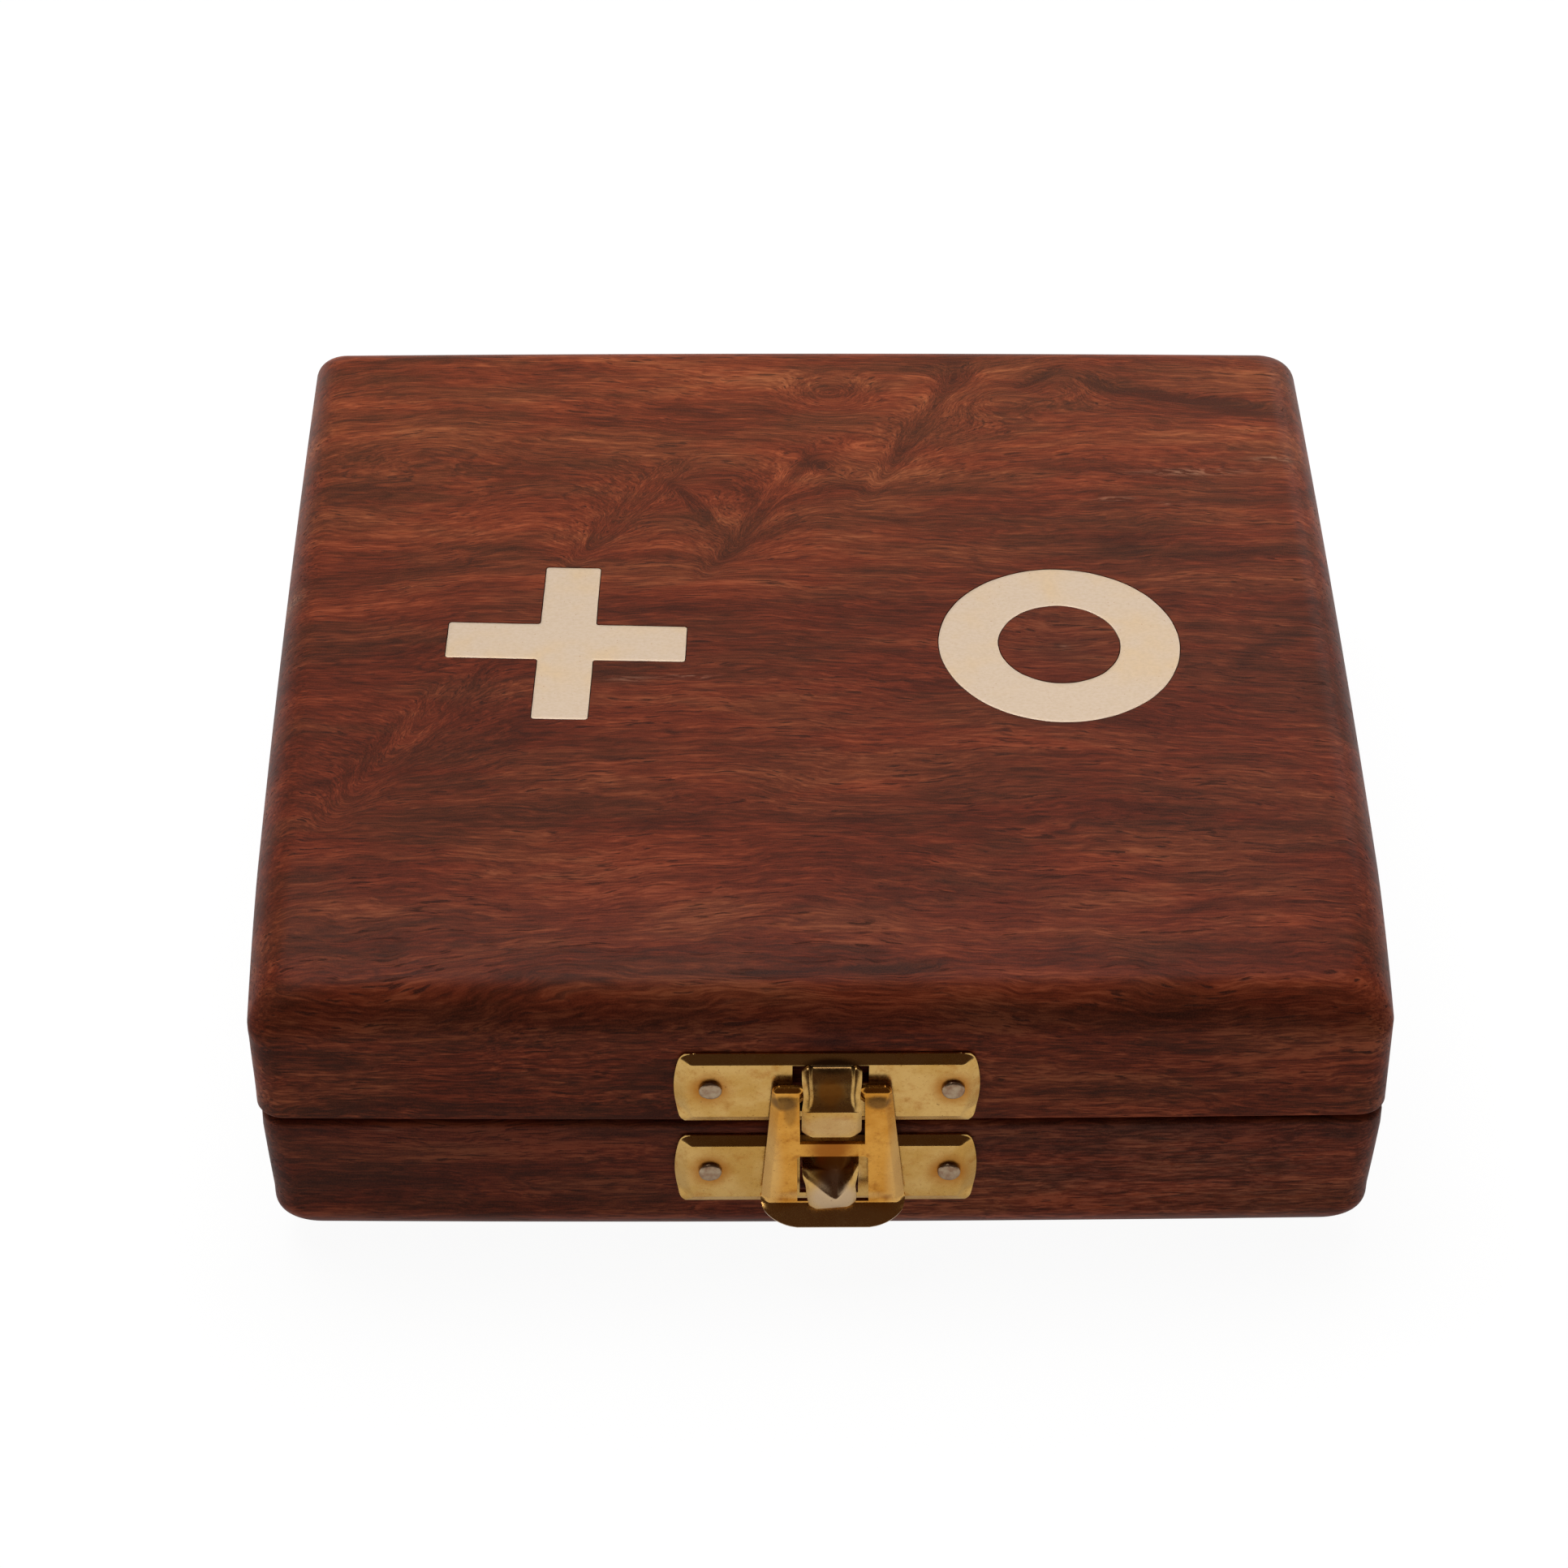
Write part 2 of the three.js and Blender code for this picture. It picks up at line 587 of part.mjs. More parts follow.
// One leaf of a butt hinge as seen from the back. way is 1 for the leaf above the seam and -1
// for the one below, and the two take turns along the pin.
function hingeLeaf(way) {
  const pitch = hingeLength / knuckleCount;
  const axis = knuckleStandOff + knuckleRadius;
  const plate = extruded(roundedRectangle(hingeLength, 2 * leafHeight, leafCorner), 0, leafThickness)
    .translate(0, seamHeight, 0);
  const beyond = block(
    new THREE.Vector3(-hingeLength, seamHeight - (way + 1) / 2 * 2 * leafHeight, -overrun),
    new THREE.Vector3(hingeLength, seamHeight + (1 - way) / 2 * 2 * leafHeight, leafThickness + overrun),
  );
  let leaf = solid(plate).subtract(solid(beyond));
  for (let i = 0; i < knuckleCount; i += 1) {
    const middle = (i - (knuckleCount - 1) / 2) * pitch;
    const mine = (i % 2 === 0) === (way < 0);
    const half = mine ? (pitch - knuckleGap) / 2 : (pitch + knuckleGap) / 2;
    if (mine) {
      const knuckle = new THREE.CylinderGeometry(knuckleRadius, knuckleRadius, 2 * half, knuckleSides)
        .rotateZ(Math.PI / 2)
        .translate(middle, seamHeight, axis);
      leaf = leaf.add(solid(knuckle));
    } else {
      const room = knuckleRadius + hingeSwingClearance;
      leaf = leaf.subtract(solid(block(
        new THREE.Vector3(middle - half, seamHeight - room, -overrun),
        new THREE.Vector3(middle + half, seamHeight + room, leafThickness + overrun),
      )));
    }
  }
  const boreRadius = hingePinRadius + hingePinClearance;
  const bore = new THREE.CylinderGeometry(boreRadius, boreRadius, hingeLength + 2 * overrun, shankSides)
    .rotateZ(Math.PI / 2)
    .translate(0, seamHeight, axis);
  leaf = leaf.subtract(solid(bore));
  for (const x of nailPlaces()) {
    const hole = rod(nailShankRadius + shankClearance, -overrun, leafThickness + overrun, shankSides)
      .translate(x, seamHeight + way * nailHeight, 0);
    leaf = leaf.subtract(solid(hole));
  }
  return geometryOf(leaf);
}

function nailPlaces() {
  return [-nailSpacing / 2, nailSpacing / 2];
}

function hingePlaces() {
  const middle = boxWidth / 2 - hingeInset;
  return [{ side: 'left', x: middle }, { side: 'right', x: -middle }];
}

function hingePin() {
  return new THREE.CylinderGeometry(hingePinRadius, hingePinRadius, hingeLength, shankSides)
    .rotateZ(Math.PI / 2)
    .translate(0, seamHeight, knuckleStandOff + knuckleRadius);
}

// The holes that the shanks of the latch pins and the hinge nails go down, in lid and base
function fastenerHoles() {
  const holes = [];
  for (const y of [upperPlateY, lowerPlateY]) {
    for (const x of latchPinPlaces()) holes.push(pinHole().translate(x, y, 0).applyMatrix4(ontoFront));
  }
  for (const hinge of hingePlaces()) {
    for (const way of [-1, 1]) {
      for (const x of nailPlaces()) {
        holes.push(rod(nailShankRadius + shankClearance, -nailLength, overrun, shankSides)
          .translate(hinge.x + x, seamHeight + way * nailHeight, 0)
          .applyMatrix4(ontoBack));
      }
    }
  }
  return holes;
}

function lidBlock() {
  const pilot = new THREE.ConeGeometry(pilotRadius, 2 * pilotDepth, shankSides)
    .applyMatrix4(lengthToZ)
    .rotateX(Math.PI)
    .translate(lidShift + inlaySpacing / 2, inlayOffset, boxHeight);
  const cutters = [
    hollow(lidBottom - overrun, lidCeiling),
    inlayCross(boxHeight - inlayThickness, boxHeight + overrun, inlayClearance),
    inlayRing(boxHeight - inlayThickness, boxHeight + overrun, inlayClearance),
    pilot,
    ...fastenerHoles(),
  ];
  const raw = sandedBlock(boxWidth, boxDepth, lidBottom, boxHeight, seamEdgeRadius, lidEdgeRadius)
    .translate(lidShift, 0, 0);
  return geometryOf(cutters.reduce((left, cutter) => left.subtract(solid(cutter)), solid(raw)));
}

function baseBlock() {
  const lowerRadius = Math.min(baseEdgeRadius, baseTop - seamEdgeRadius);
  const raw = sandedBlock(boxWidth - 2 * baseStep, boxDepth, 0, baseTop, lowerRadius, seamEdgeRadius);
  const cutters = [hollow(floorThickness, baseTop + overrun), ...fastenerHoles()];
  return geometryOf(cutters.reduce((left, cutter) => left.subtract(solid(cutter)), solid(raw)));
}

// A slat as seen from its side, with two half laps: open to the top where way is 1, to the
// bottom where it is -1
function slatGeometry(length, pitch, way) {
  const half = length / 2 - slatClearance;
  const cut = slatThickness / 2 + slatClearance;
  const edge = way > 0 ? slatHeight : 0;
  const deep = slatHeight / 2 - way * slatClearance;
  const shape = new THREE.Shape();
  const far = slatHeight - edge;
  shape.moveTo(-half, far);
  shape.lineTo(half, far);
  shape.lineTo(half, edge);
  for (const middle of [pitch / 2, -pitch / 2]) {
    shape.lineTo(middle + cut, edge);
    shape.lineTo(middle + cut, deep);
    shape.lineTo(middle - cut, deep);
    shape.lineTo(middle - cut, edge);
  }
  shape.lineTo(-half, edge);
  return extruded(shape, -slatThickness / 2, slatThickness / 2).applyMatrix4(lengthToZ);
}

function crossPiece() {
  const outline = (inset) => outlineOf(
    crossShape(pieceSize, pieceArmShare * pieceSize, pieceChamfer / 2, -inset),
    1,
  );
  return loft([
    { outline: outline(pieceChamfer), z: 0 },
    { outline: outline(0), z: pieceChamfer },
    { outline: outline(0), z: pieceThickness - pieceChamfer },
    { outline: outline(pieceChamfer), z: pieceThickness },
  ]);
}

function ringPiece() {
  const outer = pieceSize / 2;
  const inner = pieceHoleShare * outer;
  const low = pieceChamfer;
  const high = pieceThickness - pieceChamfer;
  const profile = [
    [inner + low, 0], [outer - low, 0], [outer, low], [outer, high],
    [outer - low, pieceThickness], [inner + low, pieceThickness], [inner, high], [inner, low],
    [inner + low, 0],
  ];
  return new THREE.LatheGeometry(profile.map(([r, h]) => new THREE.Vector2(r, h)), roundSides * 2 / 3)
    .applyMatrix4(lengthToZ);
}

const box = new THREE.Group();

// Adds a named piece of one finish to the box
function add(name, geometry, finish, place = new THREE.Vector3()) {
  const mesh = new THREE.Mesh(geometry, new THREE.MeshStandardMaterial(finish));
  mesh.name = name;
  mesh.position.copy(place);
  box.add(mesh);
}

add('lid_block', lidBlock(), rosewood);
add('base_block', baseBlock(), rosewood);
add('cross_inlay', inlayCross(boxHeight - inlayThickness, boxHeight, 0), inlayBrass);
add('ring_inlay', inlayRing(boxHeight - inlayThickness, boxHeight, 0), inlayBrass);

for (const [name, way] of [['slat_front', -1], ['slat_back', 1]]) {
  const place = new THREE.Vector3(0, way * cellPitchY / 2, floorThickness);
  add(name, slatGeometry(hollowWidth, cellPitchX, 1), darkWood, place);
}
for (const [name, way] of [['slat_left', -1], ['slat_right', 1]]) {
  const place = new THREE.Vector3(way * cellPitchX / 2, 0, floorThickness);
  const turned = new THREE.Matrix4().makeBasis(axisY, axisX.clone().negate(), axisZ);
  add(name, slatGeometry(hollowDepth, cellPitchY, -1).applyMatrix4(turned), darkWood, place);
}

const pieceCounts = { cross: 0, ring: 0 };
for (const row of [1, 0, -1]) {
  for (const column of [-1, 0, 1]) {
    const kind = (row + column) % 2 === 0 ? 'cross' : 'ring';
    pieceCounts[kind] += 1;
    const place = new THREE.Vector3(column * cellPitchX, row * cellPitchY, floorThickness);
    const geometry = kind === 'cross' ? crossPiece() : ringPiece();
    add(`${kind}_piece_${pieceCounts[kind]}`, geometry, kind === 'cross' ? darkWood : paleWood, place);
  }
}

add('latch_top_plate', upperPlate().applyMatrix4(ontoFront), latchBrass);
add('latch_bottom_plate', lowerPlate().applyMatrix4(ontoFront), latchBrass);
add('latch_flap', flap().applyMatrix4(ontoFront), latchBrass);

let pinNumber = 0;
for (const y of [upperPlateY, lowerPlateY]) {
  for (const x of latchPinPlaces()) {
    pinNumber += 1;
    const pin = nail(pinHeadRadius, pinHeadHeight, pinShankRadius, pinLength, plateRise)
      .translate(x, y, 0)
      .applyMatrix4(ontoFront);
    add(`latch_pin_${pinNumber}`, pin, steel);
  }
}

let nailNumber = 0;
for (const { side, x } of hingePlaces()) {
  add(`hinge_${side}_lid_leaf`, hingeLeaf(1).translate(x, 0, 0).applyMatrix4(ontoBack), hingeBrass);
  add(`hinge_${side}_base_leaf`, hingeLeaf(-1).translate(x, 0, 0).applyMatrix4(ontoBack), hingeBrass);
  add(`hinge_${side}_pin`, hingePin().translate(x, 0, 0).applyMatrix4(ontoBack), steel);
  for (const way of [1, -1]) {
    for (const offset of nailPlaces()) {
      nailNumber += 1;
      const tack = nail(nailHeadRadius, nailHeadHeight, nailShankRadius, nailLength, leafThickness)
        .translate(x + offset, seamHeight + way * nailHeight, 0)
        .applyMatrix4(ontoBack);
      add(`hinge_nail_${nailNumber}`, tack, hingeBrass);
    }
  }
}

export default box;
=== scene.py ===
# %% [markdown]
# # A wooden noughts-and-crosses box with a swing latch
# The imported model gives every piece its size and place. Here the pieces get the looks of the
# real box: oiled rosewood with its dark streaks, brass let in flush, and a pressed brass latch
# with tarnish round its pins. Lengths are written in millimetres and kept in metres.

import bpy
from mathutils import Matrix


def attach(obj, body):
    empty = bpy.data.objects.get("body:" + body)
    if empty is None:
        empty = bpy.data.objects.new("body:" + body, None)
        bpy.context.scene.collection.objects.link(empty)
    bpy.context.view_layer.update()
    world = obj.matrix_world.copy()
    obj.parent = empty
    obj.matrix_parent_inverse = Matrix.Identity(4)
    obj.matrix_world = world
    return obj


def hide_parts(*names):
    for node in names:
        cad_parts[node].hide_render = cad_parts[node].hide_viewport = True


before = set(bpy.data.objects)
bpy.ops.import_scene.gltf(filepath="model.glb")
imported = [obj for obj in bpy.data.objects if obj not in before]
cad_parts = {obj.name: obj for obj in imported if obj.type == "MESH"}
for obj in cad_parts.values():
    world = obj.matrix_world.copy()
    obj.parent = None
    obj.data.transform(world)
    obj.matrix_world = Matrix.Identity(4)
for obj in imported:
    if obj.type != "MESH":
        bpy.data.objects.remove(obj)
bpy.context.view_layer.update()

import math

import bpy
import numpy as np
from mathutils import Matrix, Vector

MM = 0.001

# %% [markdown]
# ## Camera
# The photograph was taken from in front and above with a long lens, so the box's edges run
# almost parallel. The camera looks at the middle of the box from 39 degrees up, and a small
# shift of the lens puts the box where it is in the frame.

# %% Aim the camera
SENSOR_MM = 36.0
LENS_MM = 109.7
DISTANCE = 551.7 * MM
ELEVATION = math.radians(38.74)
AZIMUTH = -0.024
ROLL = 0.013
TARGET = Vector((0, 0, 18 * MM))
PHOTO_PIXELS, SHIFT_PIXELS = 1932, (-37.8, -11.4)

back = Vector((math.sin(AZIMUTH) * math.cos(ELEVATION),
               -math.cos(AZIMUTH) * math.cos(ELEVATION), math.sin(ELEVATION)))
level = Vector((0, 0, 1)).cross(back).normalized()
upright = back.cross(level)
right = math.cos(ROLL) * level + math.sin(ROLL) * upright
above = -math.sin(ROLL) * level + math.cos(ROLL) * upright
camera = bpy.data.objects.new("camera", bpy.data.cameras.new("camera"))
camera.matrix_world = Matrix((right, above, back)).transposed().to_4x4()
camera.location = TARGET + DISTANCE * back
camera.data.lens = LENS_MM
camera.data.sensor_width = SENSOR_MM
camera.data.shift_x, camera.data.shift_y = (pixels / PHOTO_PIXELS for pixels in SHIFT_PIXELS)
bpy.context.scene.collection.objects.link(camera)
bpy.context.scene.camera = camera
print("camera", [round(v, 3) for v in camera.location])

# %% [markdown]
# ## Shader maths as Python
# A wire wraps one output of a node. Adding or multiplying wires adds the Math node that does
# it, so a formula reads as a formula. Every other node comes from `Bench.node`.

# %% A wire and a bench
def maths(operation, turned=False):
    """A method that adds a Math node; turned swaps its two values, as 1 - wire needs."""
    def method(wire, other=0.0):
        values = (other, wire) if turned else (wire, other)
        return wire.bench.node("ShaderNodeMath", {"operation": operation}, dict(enumerate(values)))
    return method


class Wire:
    """One output of a node, with the operators that the finishes use."""

    def __init__(self, bench, socket):
        self.bench, self.socket = bench, socket

    __add__, __radd__ = maths("ADD"), maths("ADD", True)
    __sub__, __rsub__ = maths("SUBTRACT"), maths("SUBTRACT", True)
    __mul__, __rmul__ = maths("MULTIPLY"), maths("MULTIPLY", True)
    __truediv__, __pow__ = maths("DIVIDE"), maths("POWER")
    __abs__, exp = maths("ABSOLUTE"), maths("EXPONENT")
    least, most = maths("MINIMUM"), maths("MAXIMUM")

    def rise(self, start, end):
        """0 at start, 1 at end, and a smooth step between them, whichever is the greater."""
        return self.bench.node("ShaderNodeMapRange", {"interpolation_type": "SMOOTHSTEP"},
                               {0: self, 1: start, 2: end})


class Bench:
    """The node tree of a new finish, which ends in a Principled shader, or of a new world."""

    def __init__(self, name, kind="materials"):
        self.owner = getattr(bpy.data, kind).new(name)
        self.owner.use_nodes = True
        self.tree = self.owner.node_tree

    def plug(self, socket, value):
        """A wire is linked to the socket, and anything else becomes its value."""
        if isinstance(value, Wire):
            self.tree.links.new(value.socket, socket)
        else:
            socket.default_value = value

    def node(self, kind, settings=None, inputs=None, out=0):
        """Adds a node: first its settings, then the values or wires of its inputs."""
        made = self.tree.nodes.new(kind)
        for key, value in (settings or {}).items():
            if key == "stops":
                while len(made.color_ramp.elements) < len(value):
                    made.color_ramp.elements.new(1)
                for stop, (position, shade) in zip(made.color_ramp.elements, value):
                    stop.position, stop.color = position, shade
            else:
                setattr(made, key, value)
        for key, value in (inputs or {}).items():
            self.plug(made.inputs[key], value)
        return Wire(self, made.outputs[out])

    def at(self, scale=(1, 1, 1), move=(0, 0, 0)):
        """The place on the piece in millimetres, scaled and then moved."""
        return self.node("ShaderNodeMapping", {"vector_type": "POINT"}, {
            0: self.node("ShaderNodeTexCoord", out="Object"), 1: tuple(move),
            3: tuple(s / MM for s in scale)})

    def noise(self, where, detail, rough):
        """Noise with one lump to each unit of the place that it is given."""
        return self.node("ShaderNodeTexNoise", {"noise_dimensions": "3D"}, {
            "Vector": where, "Scale": 1.0, "Detail": detail, "Roughness": rough})

    def cloud(self, scale, detail, rough, move=(0, 0, 0)):
        """Noise on the piece; scale says how many lumps a millimetre holds along each axis."""
        return self.noise(self.at(scale, move), detail, rough)

    def mix(self, factor, first, second, way="MIX"):
        """Two colours mixed by a factor."""
        return self.node("ShaderNodeMix", {"data_type": "RGBA", "blend_type": way},
                         {0: factor, 6: first, 7: second}, out=2)

    def tinted(self, shade, tint):
        """A colour times a tint, channel by channel."""
        return self.mix(1.0, shade, tint, "MULTIPLY")

    def xyz(self, x, y, z):
        """A place put together from three numbers."""
        return self.node("ShaderNodeCombineXYZ", None, {0: x, 1: y, 2: z})

    def parts(self, where):
        """The three numbers of a place."""
        return [self.node("ShaderNodeSeparateXYZ", None, {0: where}, out=i) for i in range(3)]

    def bump(self, height, strength, distance):
        """A surface that looks raised where height is high, by distance in metres."""
        return self.node("ShaderNodeBump", None,
                         {"Strength": strength, "Distance": distance, "Height": height})

    def finish(self, **values):
        """Sets or links the Principled shader's sockets, and hands over the material."""
        for key, value in values.items():
            self.plug(self.tree.nodes["Principled BSDF"].inputs[key.replace("_", " ")], value)
        return self.owner


def colour(red, green, blue):
    """A colour picked on a screen, 0 to 255, as the linear numbers that the shader wants: each
    share v becomes v / 12.92 where it is very dark, and ((v + 0.055) / 1.055) ^ 2.4 elsewhere."""
    v = np.array([red, green, blue]) / 255
    linear = np.where(v <= 0.04045, v / 12.92, ((v + 0.055) / 1.055) ** 2.4)
    return (*linear.tolist(), 1.0)


print("middle grey in linear numbers:", [round(part, 3) for part in colour(128, 128, 128)])

# %% [markdown]
# ## Floor and light
# The photograph has a white ground and soft light from above. The front of the box faces the
# dim side of the room, where the camera stands, and the brass shows that: what faces up and
# back is bright, what tilts towards the camera is dark.

# %% Lay the floor and hang the lamps
FLOOR_HALF = 2.0
WHITE, PAINT = (1, 1, 1, 1), (0.9, 0.9, 0.9, 1)
GLOW, GLOW_SHARE, GLOW_SHARE_SEEN = 1.02, 0.5, 0.93
DIM_TONE, DIM_HEIGHT, DIM_FROM, DIM_TO = (0.115, 0.066, 0.05, 1), 0.6, 0.05, 0.62
ROOM_STRENGTH = 0.62

floor_mesh = bpy.data.meshes.new("floor")
corners = [(FLOOR_HALF * x, FLOOR_HALF * y, 0) for x, y in ((-1, -1), (1, -1), (1, 1), (-1, 1))]
floor_mesh.from_pydata(corners, [], [(0, 1, 2, 3)])
floor = bpy.data.objects.new("floor", floor_mesh)
bpy.context.scene.collection.objects.link(floor)

ground = Bench("pale ground")
seen = ground.node("ShaderNodeLightPath", out="Is Camera Ray")
glow = ground.node("ShaderNodeEmission", None, {"Color": WHITE, "Strength": GLOW})
paint = ground.node("ShaderNodeBsdfDiffuse", None, {"Color": PAINT})
glowing = GLOW_SHARE + (GLOW_SHARE_SEEN - GLOW_SHARE) * seen
blend = ground.node("ShaderNodeMixShader", None, {0: glowing, 1: paint, 2: glow})
ground.plug(ground.tree.nodes["Material Output"].inputs["Surface"], blend)
floor_mesh.materials.append(ground.owner)

room = Bench("room", "worlds")
bpy.context.scene.world = room.owner
_, side_y, side_z = room.parts(room.node("ShaderNodeTexCoord", out="Generated"))
dim_side = (DIM_HEIGHT * side_z - side_y).rise(DIM_FROM, DIM_TO)
shown = room.node("ShaderNodeLightPath", out="Is Camera Ray")
air = room.tree.nodes["Background"].inputs
room.plug(air["Color"], room.mix(shown, room.mix(dim_side, WHITE, DIM_TONE), WHITE))
room.plug(air["Strength"], ROOM_STRENGTH + (1 - ROOM_STRENGTH) * shown)


def soft_lamp(name, place, aim, size, power):
    """A rectangular lamp, in metres and watts, turned towards the point that it is aimed at."""
    lamp = bpy.data.objects.new(name, bpy.data.lights.new(name, "AREA"))
    lamp.data.shape, lamp.data.energy = "RECTANGLE", power
    lamp.data.size, lamp.data.size_y = size
    lamp.location = place
    lamp.rotation_euler = (Vector(aim) - Vector(place)).to_track_quat("-Z", "Y").to_euler()
    bpy.context.scene.collection.objects.link(lamp)


soft_lamp("lamp above", place=(-0.15, 0.3, 1.1), aim=(0, 0, 0), size=(1.0, 0.75), power=11.5)
soft_lamp("lamp behind", place=(0.5, 0.9, 0.5), aim=(0, 0, 0.02), size=(0.6, 0.5), power=2)
bpy.context.scene.view_settings.view_transform = "Standard"
print("stage and lamps are set")

# %% [markdown]
# ## From numbers to pieces
# Each new piece is a set of points worked out with numpy and a list of faces between them. A
# stack of rings makes a turned or sanded block, and two grids make a sheet with a thickness.

# %% Make meshes out of arrays
CREASE = math.radians(35)


def piece_from(name, points, faces, finish, body, replaced=(), slot=None):
    """A piece from points in millimetres and faces. Faces that meet at more than CREASE keep a
    crisp edge, the others are shaded smooth. A shape that only cuts others has no body."""
    mesh = bpy.data.meshes.new(name)
    mesh.from_pydata((np.asarray(points, float).reshape(-1, 3) * MM).tolist(), [],
                     [list(map(int, face)) for face in faces])
    mesh.validate()
    mesh.polygons.foreach_set("use_smooth", np.ones(len(mesh.polygons), bool))
    mesh.set_sharp_from_angle(angle=CREASE)
    mesh.materials.append(finish)
    piece = bpy.data.objects.new(name, mesh)
    bpy.context.scene.collection.objects.link(piece)
    if body:
        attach(piece, body)
        for node in replaced:
            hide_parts(node)
    return piece


def ring_stack(rings, closed=False):
    """Faces of a skin through rings of equally many points. Its first and last rings are closed
    by one flat face each, or joined to each other when the profile is itself a loop."""
    rings = np.asarray(rings, float)
    rows, around = rings.shape[:2]
    index = np.arange(rows * around).reshape(rows, around)
    below = index if closed else index[:-1]
    above = np.roll(index, -1, 0) if closed else index[1:]
    quads = np.stack([below, above, np.roll(above, -1, 1), np.roll(below, -1, 1)], -1).reshape(-1, 4)
    faces = quads.tolist()
    if not closed:
        faces += [index[0].tolist(), index[-1][::-1].tolist()]
    return rings.reshape(-1, 3), faces


def sheet_skin(front, behind, keep=None):
    """Points and faces of a sheet given the grids of its two sides. A quad that keep marks False
    is left open, and a wall closes every edge that only one kept quad has."""
    rows, cols = front.shape[:2]
    index = np.arange(rows * cols).reshape(rows, cols)
    quads = np.stack([index[:-1, :-1], index[:-1, 1:], index[1:, 1:], index[1:, :-1]], -1)
    quads = quads[keep] if keep is not None else quads.reshape(-1, 4)
    edges = np.stack([quads, np.roll(quads, -1, 1)], -1).reshape(-1, 2)
    forth = edges[:, 0] * rows * cols + edges[:, 1]
    back_again = edges[:, 1] * rows * cols + edges[:, 0]
    rim = edges[~np.isin(forth, back_again)]
    far = rows * cols
    walls = np.stack([rim[:, 1], rim[:, 0], rim[:, 0] + far, rim[:, 1] + far], -1)
    faces = np.concatenate([quads, quads[:, ::-1] + far, walls])
    used, renumbered = np.unique(faces, return_inverse=True)
    points = np.concatenate([front.reshape(-1, 3), behind.reshape(-1, 3)])[used]
    return points, renumbered.reshape(faces.shape)


def joined(*parts):
    """Several point and face lists as one."""
    points, faces, count = [], [], 0
    for some_points, some_faces in parts:
        points.append(np.asarray(some_points, float).reshape(-1, 3))
        faces += [[int(i) + count for i in face] for face in some_faces]
        count += len(points[-1])
    return np.concatenate(points), faces


def level_ring(outline, z):
    """A flat outline (x, y) lifted to the height z."""
    return np.column_stack([outline, np.full(len(outline), z)])


def prism(outlines, heights, closed=False):
    """A skin through one outline for each height, with flat ends or closed on itself."""
    return ring_stack([level_ring(outline, z) for outline, z in zip(outlines, heights)], closed)


print("mesh helpers are ready")

# %% Curves and eased edges
def ramp(value, start, run):
    """0 up to start, growing evenly to 1 over run."""
    return np.clip((value - start) / run, 0, 1)


def smooth_step(value, start, end):
    """3 t^2 - 2 t^3, where t grows evenly from 0 at start to 1 at end."""
    t = ramp(value, start, end - start)
    return t * t * (3 - 2 * t)


def arc(centre, radius, start, end, steps):
    """Points on a circle: its centre plus radius times (cos a, sin a), a in degrees."""
    angle = np.radians(np.linspace(start, end, steps))
    return np.asarray(centre) + radius * np.stack([np.cos(angle), np.sin(angle)], -1)


def turned(points, degrees):
    """Flat points turned about the origin."""
    cos, sin = math.cos(math.radians(degrees)), math.sin(math.radians(degrees))
    return points @ np.array([[cos, sin], [-sin, cos]])


def settle(piece):
    """Puts what the modifiers make into the mesh itself."""
    bpy.context.view_layer.update()
    evaluated = piece.evaluated_get(bpy.context.evaluated_depsgraph_get())
    finished = bpy.data.meshes.new_from_object(evaluated)
    piece.modifiers.clear()
    old, piece.data = piece.data, finished
    bpy.data.meshes.remove(old)


def eased(piece, width, degrees):
    """Bevels the edges whose faces meet at more than so many degrees; the width in millimetres."""
    bevel = piece.modifiers.new("eased edges", "BEVEL")
    bevel.width, bevel.segments = width * MM, 2
    bevel.limit_method, bevel.angle_limit = "ANGLE", math.radians(degrees)
    settle(piece)


print("a quarter circle:", arc((0, 0), 1, 0, 90, 3).round(2).tolist())

# %% [markdown]
# ## Rosewood
# The grain runs left to right through both blocks, so the finish is a solid one: every layer is
# noise that is stretched along X. A slow warp bends the fibres, and behind the middle of the
# lid a few small burls push them aside, which gives the swirls and the slanting creases. Over
# that lie broad tones, dark streaks, fine fibres and short black pores.

# %% Bend the fibres
SLOW_PUSH, WAVE_PUSH, CREASE_SWAY, WIDE_SHARE, WIDER = 17, 4.5, 2.2, 0.6, 4


def bell(amount):
    """exp(-amount): 1 in the middle of a figure and almost 0 away from it."""
    return (-1 * amount).exp()


def bent_fibres(wood, x, y, drift, burls, creases):
    """How far the fibres are pushed aside, in millimetres, and how much lighter the wood is.
    Both grow by exp(-distance ^ 2) times the push and the tone of each figure. A burl is a
    centre, a size, a push and a tone; a crease is a line on the top, as a point, a direction in
    degrees, a width, a reach, a push and a tone."""
    slow = wood.cloud((0.012, 0.02, 0.02), 2.0, 0.45, drift) - 0.5
    wave = wood.cloud((0.05, 0.09, 0.09), 3.0, 0.55, drift) - 0.5
    push, mood = SLOW_PUSH * slow + WAVE_PUSH * wave, 0.0
    for (cx, cy), (sx, sy), strength, tone in burls:
        near = bell(((x - cx) / sx) ** 2 + ((y - cy) / sy) ** 2)
        mood = mood + tone * near
        if strength:
            push = push + strength * near
    for (cx, cy), slant, width, reach, strength, tone in creases:
        cos, sin = math.cos(math.radians(slant)), math.sin(math.radians(slant))
        along = (x - cx) * cos + (y - cy) * sin
        across = (y - cy) * cos - (x - cx) * sin + CREASE_SWAY * wave
        near = bell((across / width) ** 2 + (along / reach) ** 4)
        mood = mood + tone * near
        if strength:
            wide = bell((across / (WIDER * width)) ** 2 + (along / reach) ** 4)
            push = push + strength * (near + WIDE_SHARE * wide)
    return push, mood


print("fibres follow", SLOW_PUSH, "mm waves and", WAVE_PUSH, "mm ripples")

